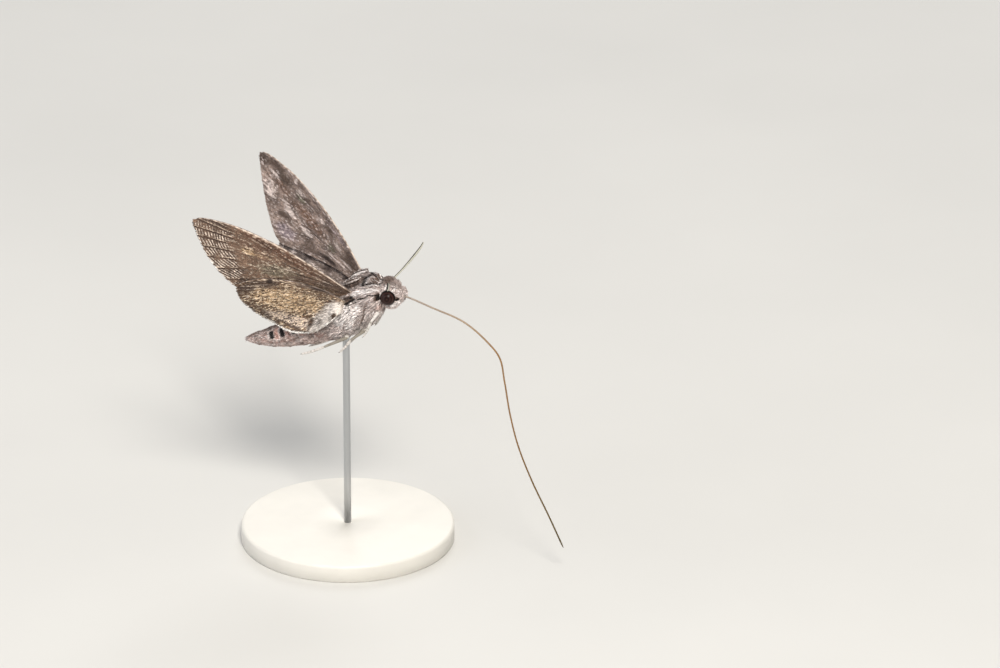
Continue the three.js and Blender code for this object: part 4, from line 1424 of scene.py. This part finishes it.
def buildLeg(joints, side, lightness):
    hip, knee, ankle, toe = (mirrored(p, side) for p in joints)
    shank = [lightness, lightness, 0.9 * lightness + 0.1, lightness, 0.6]
    pieces = [
        limbPart(hip, knee, [0.8, 0.85, 0.7, 0.55], [0.8, 0.9, lightness, 0.8]),
        limbPart(knee, ankle, [0.5, 0.52, 0.46, 0.38, 0.36], shank),
    ]
    down = unit(toe - ankle)
    bend = unit(np.cross(down, [0, 1, 0])) * 0.5
    shares = (0, 0.42, 0.6, 0.75, 0.88, 1.0)  # where the foot's segments meet
    knots = [ankle + (toe - ankle) * t + bend * math.sin(math.pi * t) * 0.4 for t in shares]
    for i, (a, b) in enumerate(zip(knots[:-1], knots[1:])):
        size = 0.4 * (1 - 0.08 * i)
        radii = [size * 0.95, size, size * 1.04, size * 0.9]
        pieces.append(limbPart(a, b, radii, [0.7, 0.9, 0.85, 0.75], 14, 10))
    for tilt in (-1, 1):  # two claws and two spurs
        out = np.array([0, tilt * 0.5, 0])
        claw = smoothPath([
            knots[-1] - down * 0.1,
            knots[-1] + down * 0.3 + out * 0.45,
            knots[-1] + down * 0.62 + out * 0.5 - bend * 0.3,
        ], 8)
        pieces.append(tube(claw, np.linspace(0.09, 0.015, 8), 6, marks={"pale": np.zeros(8)}))
        spur = np.linspace(ankle - down * 0.2, ankle + down * 1.5 + out * 0.9, 8)
        pieces.append(tube(spur, np.linspace(0.13, 0.02, 8), 6, marks={"pale": np.linspace(0.8, 0.3, 8)}))
    made = joined(pieces)
    made["marks"].pop("facing")
    return made


for name, joints in legs.items():
    for sideName, side in sides.items():
        leg = buildLeg(joints, side, 1.0 if name == "leg_front" else 0.5)
        place(f"{name}_{sideName}", leg, legFinish, [f"{name}_{sideName}"])
print("limbs done")

# Stand: round plate and one rod

stand = {"radius": 30.0, "round": 0.8, "rod": 1.0}


def turnedProfile(profile, around=120):
    radius, height = np.array(profile, float).T[:, :, None]
    turn = fullTurn(around)
    rings = np.stack([radius * np.cos(turn), radius * np.sin(turn), height * np.ones(around)], -1)
    made = capped(rings, [(0, 0, height[0, 0]), (0, 0, height[-1, 0])])
    made["points"] -= hinge
    return made


def standFinish(name, look):
    material, add = newFinish(name)
    spot = add("TexCoord", give="Object")
    mapped = add("Mapping", {"Scale": look["stretch"]}, {"Vector": spot})
    noise = add("TexNoise", {"Scale": look["scale"], "Detail": 4.0}, {"Vector": mapped})
    value = add("MapRange", {**noiseSpan, "To Min": 0.96, "To Max": 1.03}, {"Value": noise})
    shaded = add("HueSaturation", {"Color": linear(look["colour"])}, {"Value": value})
    span = {**noiseSpan, "To Min": look["roughness"] - 0.05, "To Max": look["roughness"] + 0.07}
    rough = add("MapRange", span, {"Value": noise})
    bumped = add("Bump", {"Strength": look["bump"], "Distance": 0.00005}, {"Height": noise})
    links = {"Base Color": shaded, "Roughness": rough, "Normal": bumped}
    shader = add("BsdfPrincipled", {"Metallic": look["metallic"]}, links)
    add("OutputMaterial", links={"Surface": shader})
    return material


baseLow, baseHigh = (np.array(corner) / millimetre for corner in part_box("stand_base"))
rim = [
    (stand["radius"] - stand["round"] * (1 - math.cos(a)), baseHigh[2] - stand["round"] * (1 - math.sin(a)))
    for a in np.linspace(0, math.pi / 2, 8)
]
plateProfile = [
    (stand["radius"] - 0.3, baseLow[2]),
    (stand["radius"], 0.3),
    *rim,
    (12.0, baseHigh[2]),
    (1.8, baseHigh[2]),
    (1.5, baseHigh[2] - 0.15),  # shallow dimple round the rod
]
# moulded acrylic with a satin face: soft highlight, faint flow marks
plate = standFinish("satinAcrylic", {
    "colour": "#dedbd4",
    "metallic": 0.0,
    "roughness": 0.42,
    "scale": 90.0,
    "stretch": (1, 1, 1),
    "bump": 0.15,
})
place("standPlate", turnedProfile(plateProfile), plate, ["stand_base"])
# drawn steel rod: fine lines along its length
steel = standFinish("drawnSteel", {
    "colour": "#b9bbbd",
    "metallic": 1.0,
    "roughness": 0.32,
    "scale": 1500.0,
    "stretch": (1, 1, 0.04),
    "bump": 0.3,
})
rodTop = rodHigh[2]
rodProfile = [(stand["rod"], height) for height in (3.6, 20.0, 60.0, rodTop - 0.3)]
place("standRod", turnedProfile([*rodProfile, (0.7, rodTop)], 40), steel, ["stand_rod"])
print("stand done")

# Floor, light and camera

floorMesh = bpy.data.meshes.new("floor")
floorMesh.from_pydata([(-8, -8, 0), (8, -8, 0), (8, 14, 0), (-8, 14, 0)], [], [(0, 1, 2, 3)])
floorSheet = linked("floor", floorMesh)
# studio paint: matt and nearly even, so that it takes soft shadows
floorMesh.materials.append(standFinish("paleFloorPaint", {
    "colour": "#cfcecb",
    "metallic": 0.0,
    "roughness": 0.7,
    "scale": 6.0,
    "stretch": (1, 1, 1),
    "bump": 0.05,
}))

shot = {"azimuth": 21.6, "elevation": 23.5, "distance": 2000.0, "width": 277.2, "right": 39.65, "up": -13.78}
a, e = math.radians(shot["azimuth"]), math.radians(shot["elevation"])
rightward = np.array([math.cos(a), math.sin(a), 0])
towards = np.array([math.sin(a) * math.cos(e), -math.cos(a) * math.cos(e), math.sin(e)])
upward = np.cross(towards, rightward)
target = hinge + shot["right"] * rightward + shot["up"] * upward
cameraData = bpy.data.cameras.new("camera")
cameraData.lens = cameraData.sensor_width * shot["distance"] / shot["width"]
cameraData.clip_end = 60
camera = linked("camera", cameraData)
camera.location = Vector((target + towards * shot["distance"]) * millimetre)
camera.rotation_euler = Vector(towards).to_track_quat("Z", "Y").to_euler()
bpy.context.scene.camera = camera

lamps = [
    ("key", (0.6, -0.95, 1.3), 0.45, 29.0, "#fffaf2"),
    ("fill", (-1.2, -0.9, 0.7), 1.2, 8.0, "#f2f6ff"),
    ("back", (-0.3, 1.3, 1.3), 0.9, 10.0, "#ffffff"),
]
for name, spot, size, power, colour in lamps:
    lampData = bpy.data.lights.new(name, "AREA")
    lampData.size = size
    lampData.energy = power
    lampData.color = linear(colour)[:3]
    lamp = linked(name, lampData)
    lamp.location = spot
    aim = Vector(hinge * millimetre) - Vector(spot)
    lamp.rotation_euler = aim.to_track_quat("-Z", "Y").to_euler()

world = bpy.data.worlds.new("studio")
bpy.context.scene.world = world
world.use_nodes = True
world.node_tree.nodes["Background"].inputs["Color"].default_value = linear("#f1f1f0")
world.node_tree.nodes["Background"].inputs["Strength"].default_value = 0.4
bpy.context.scene.view_settings.view_transform = "Standard"
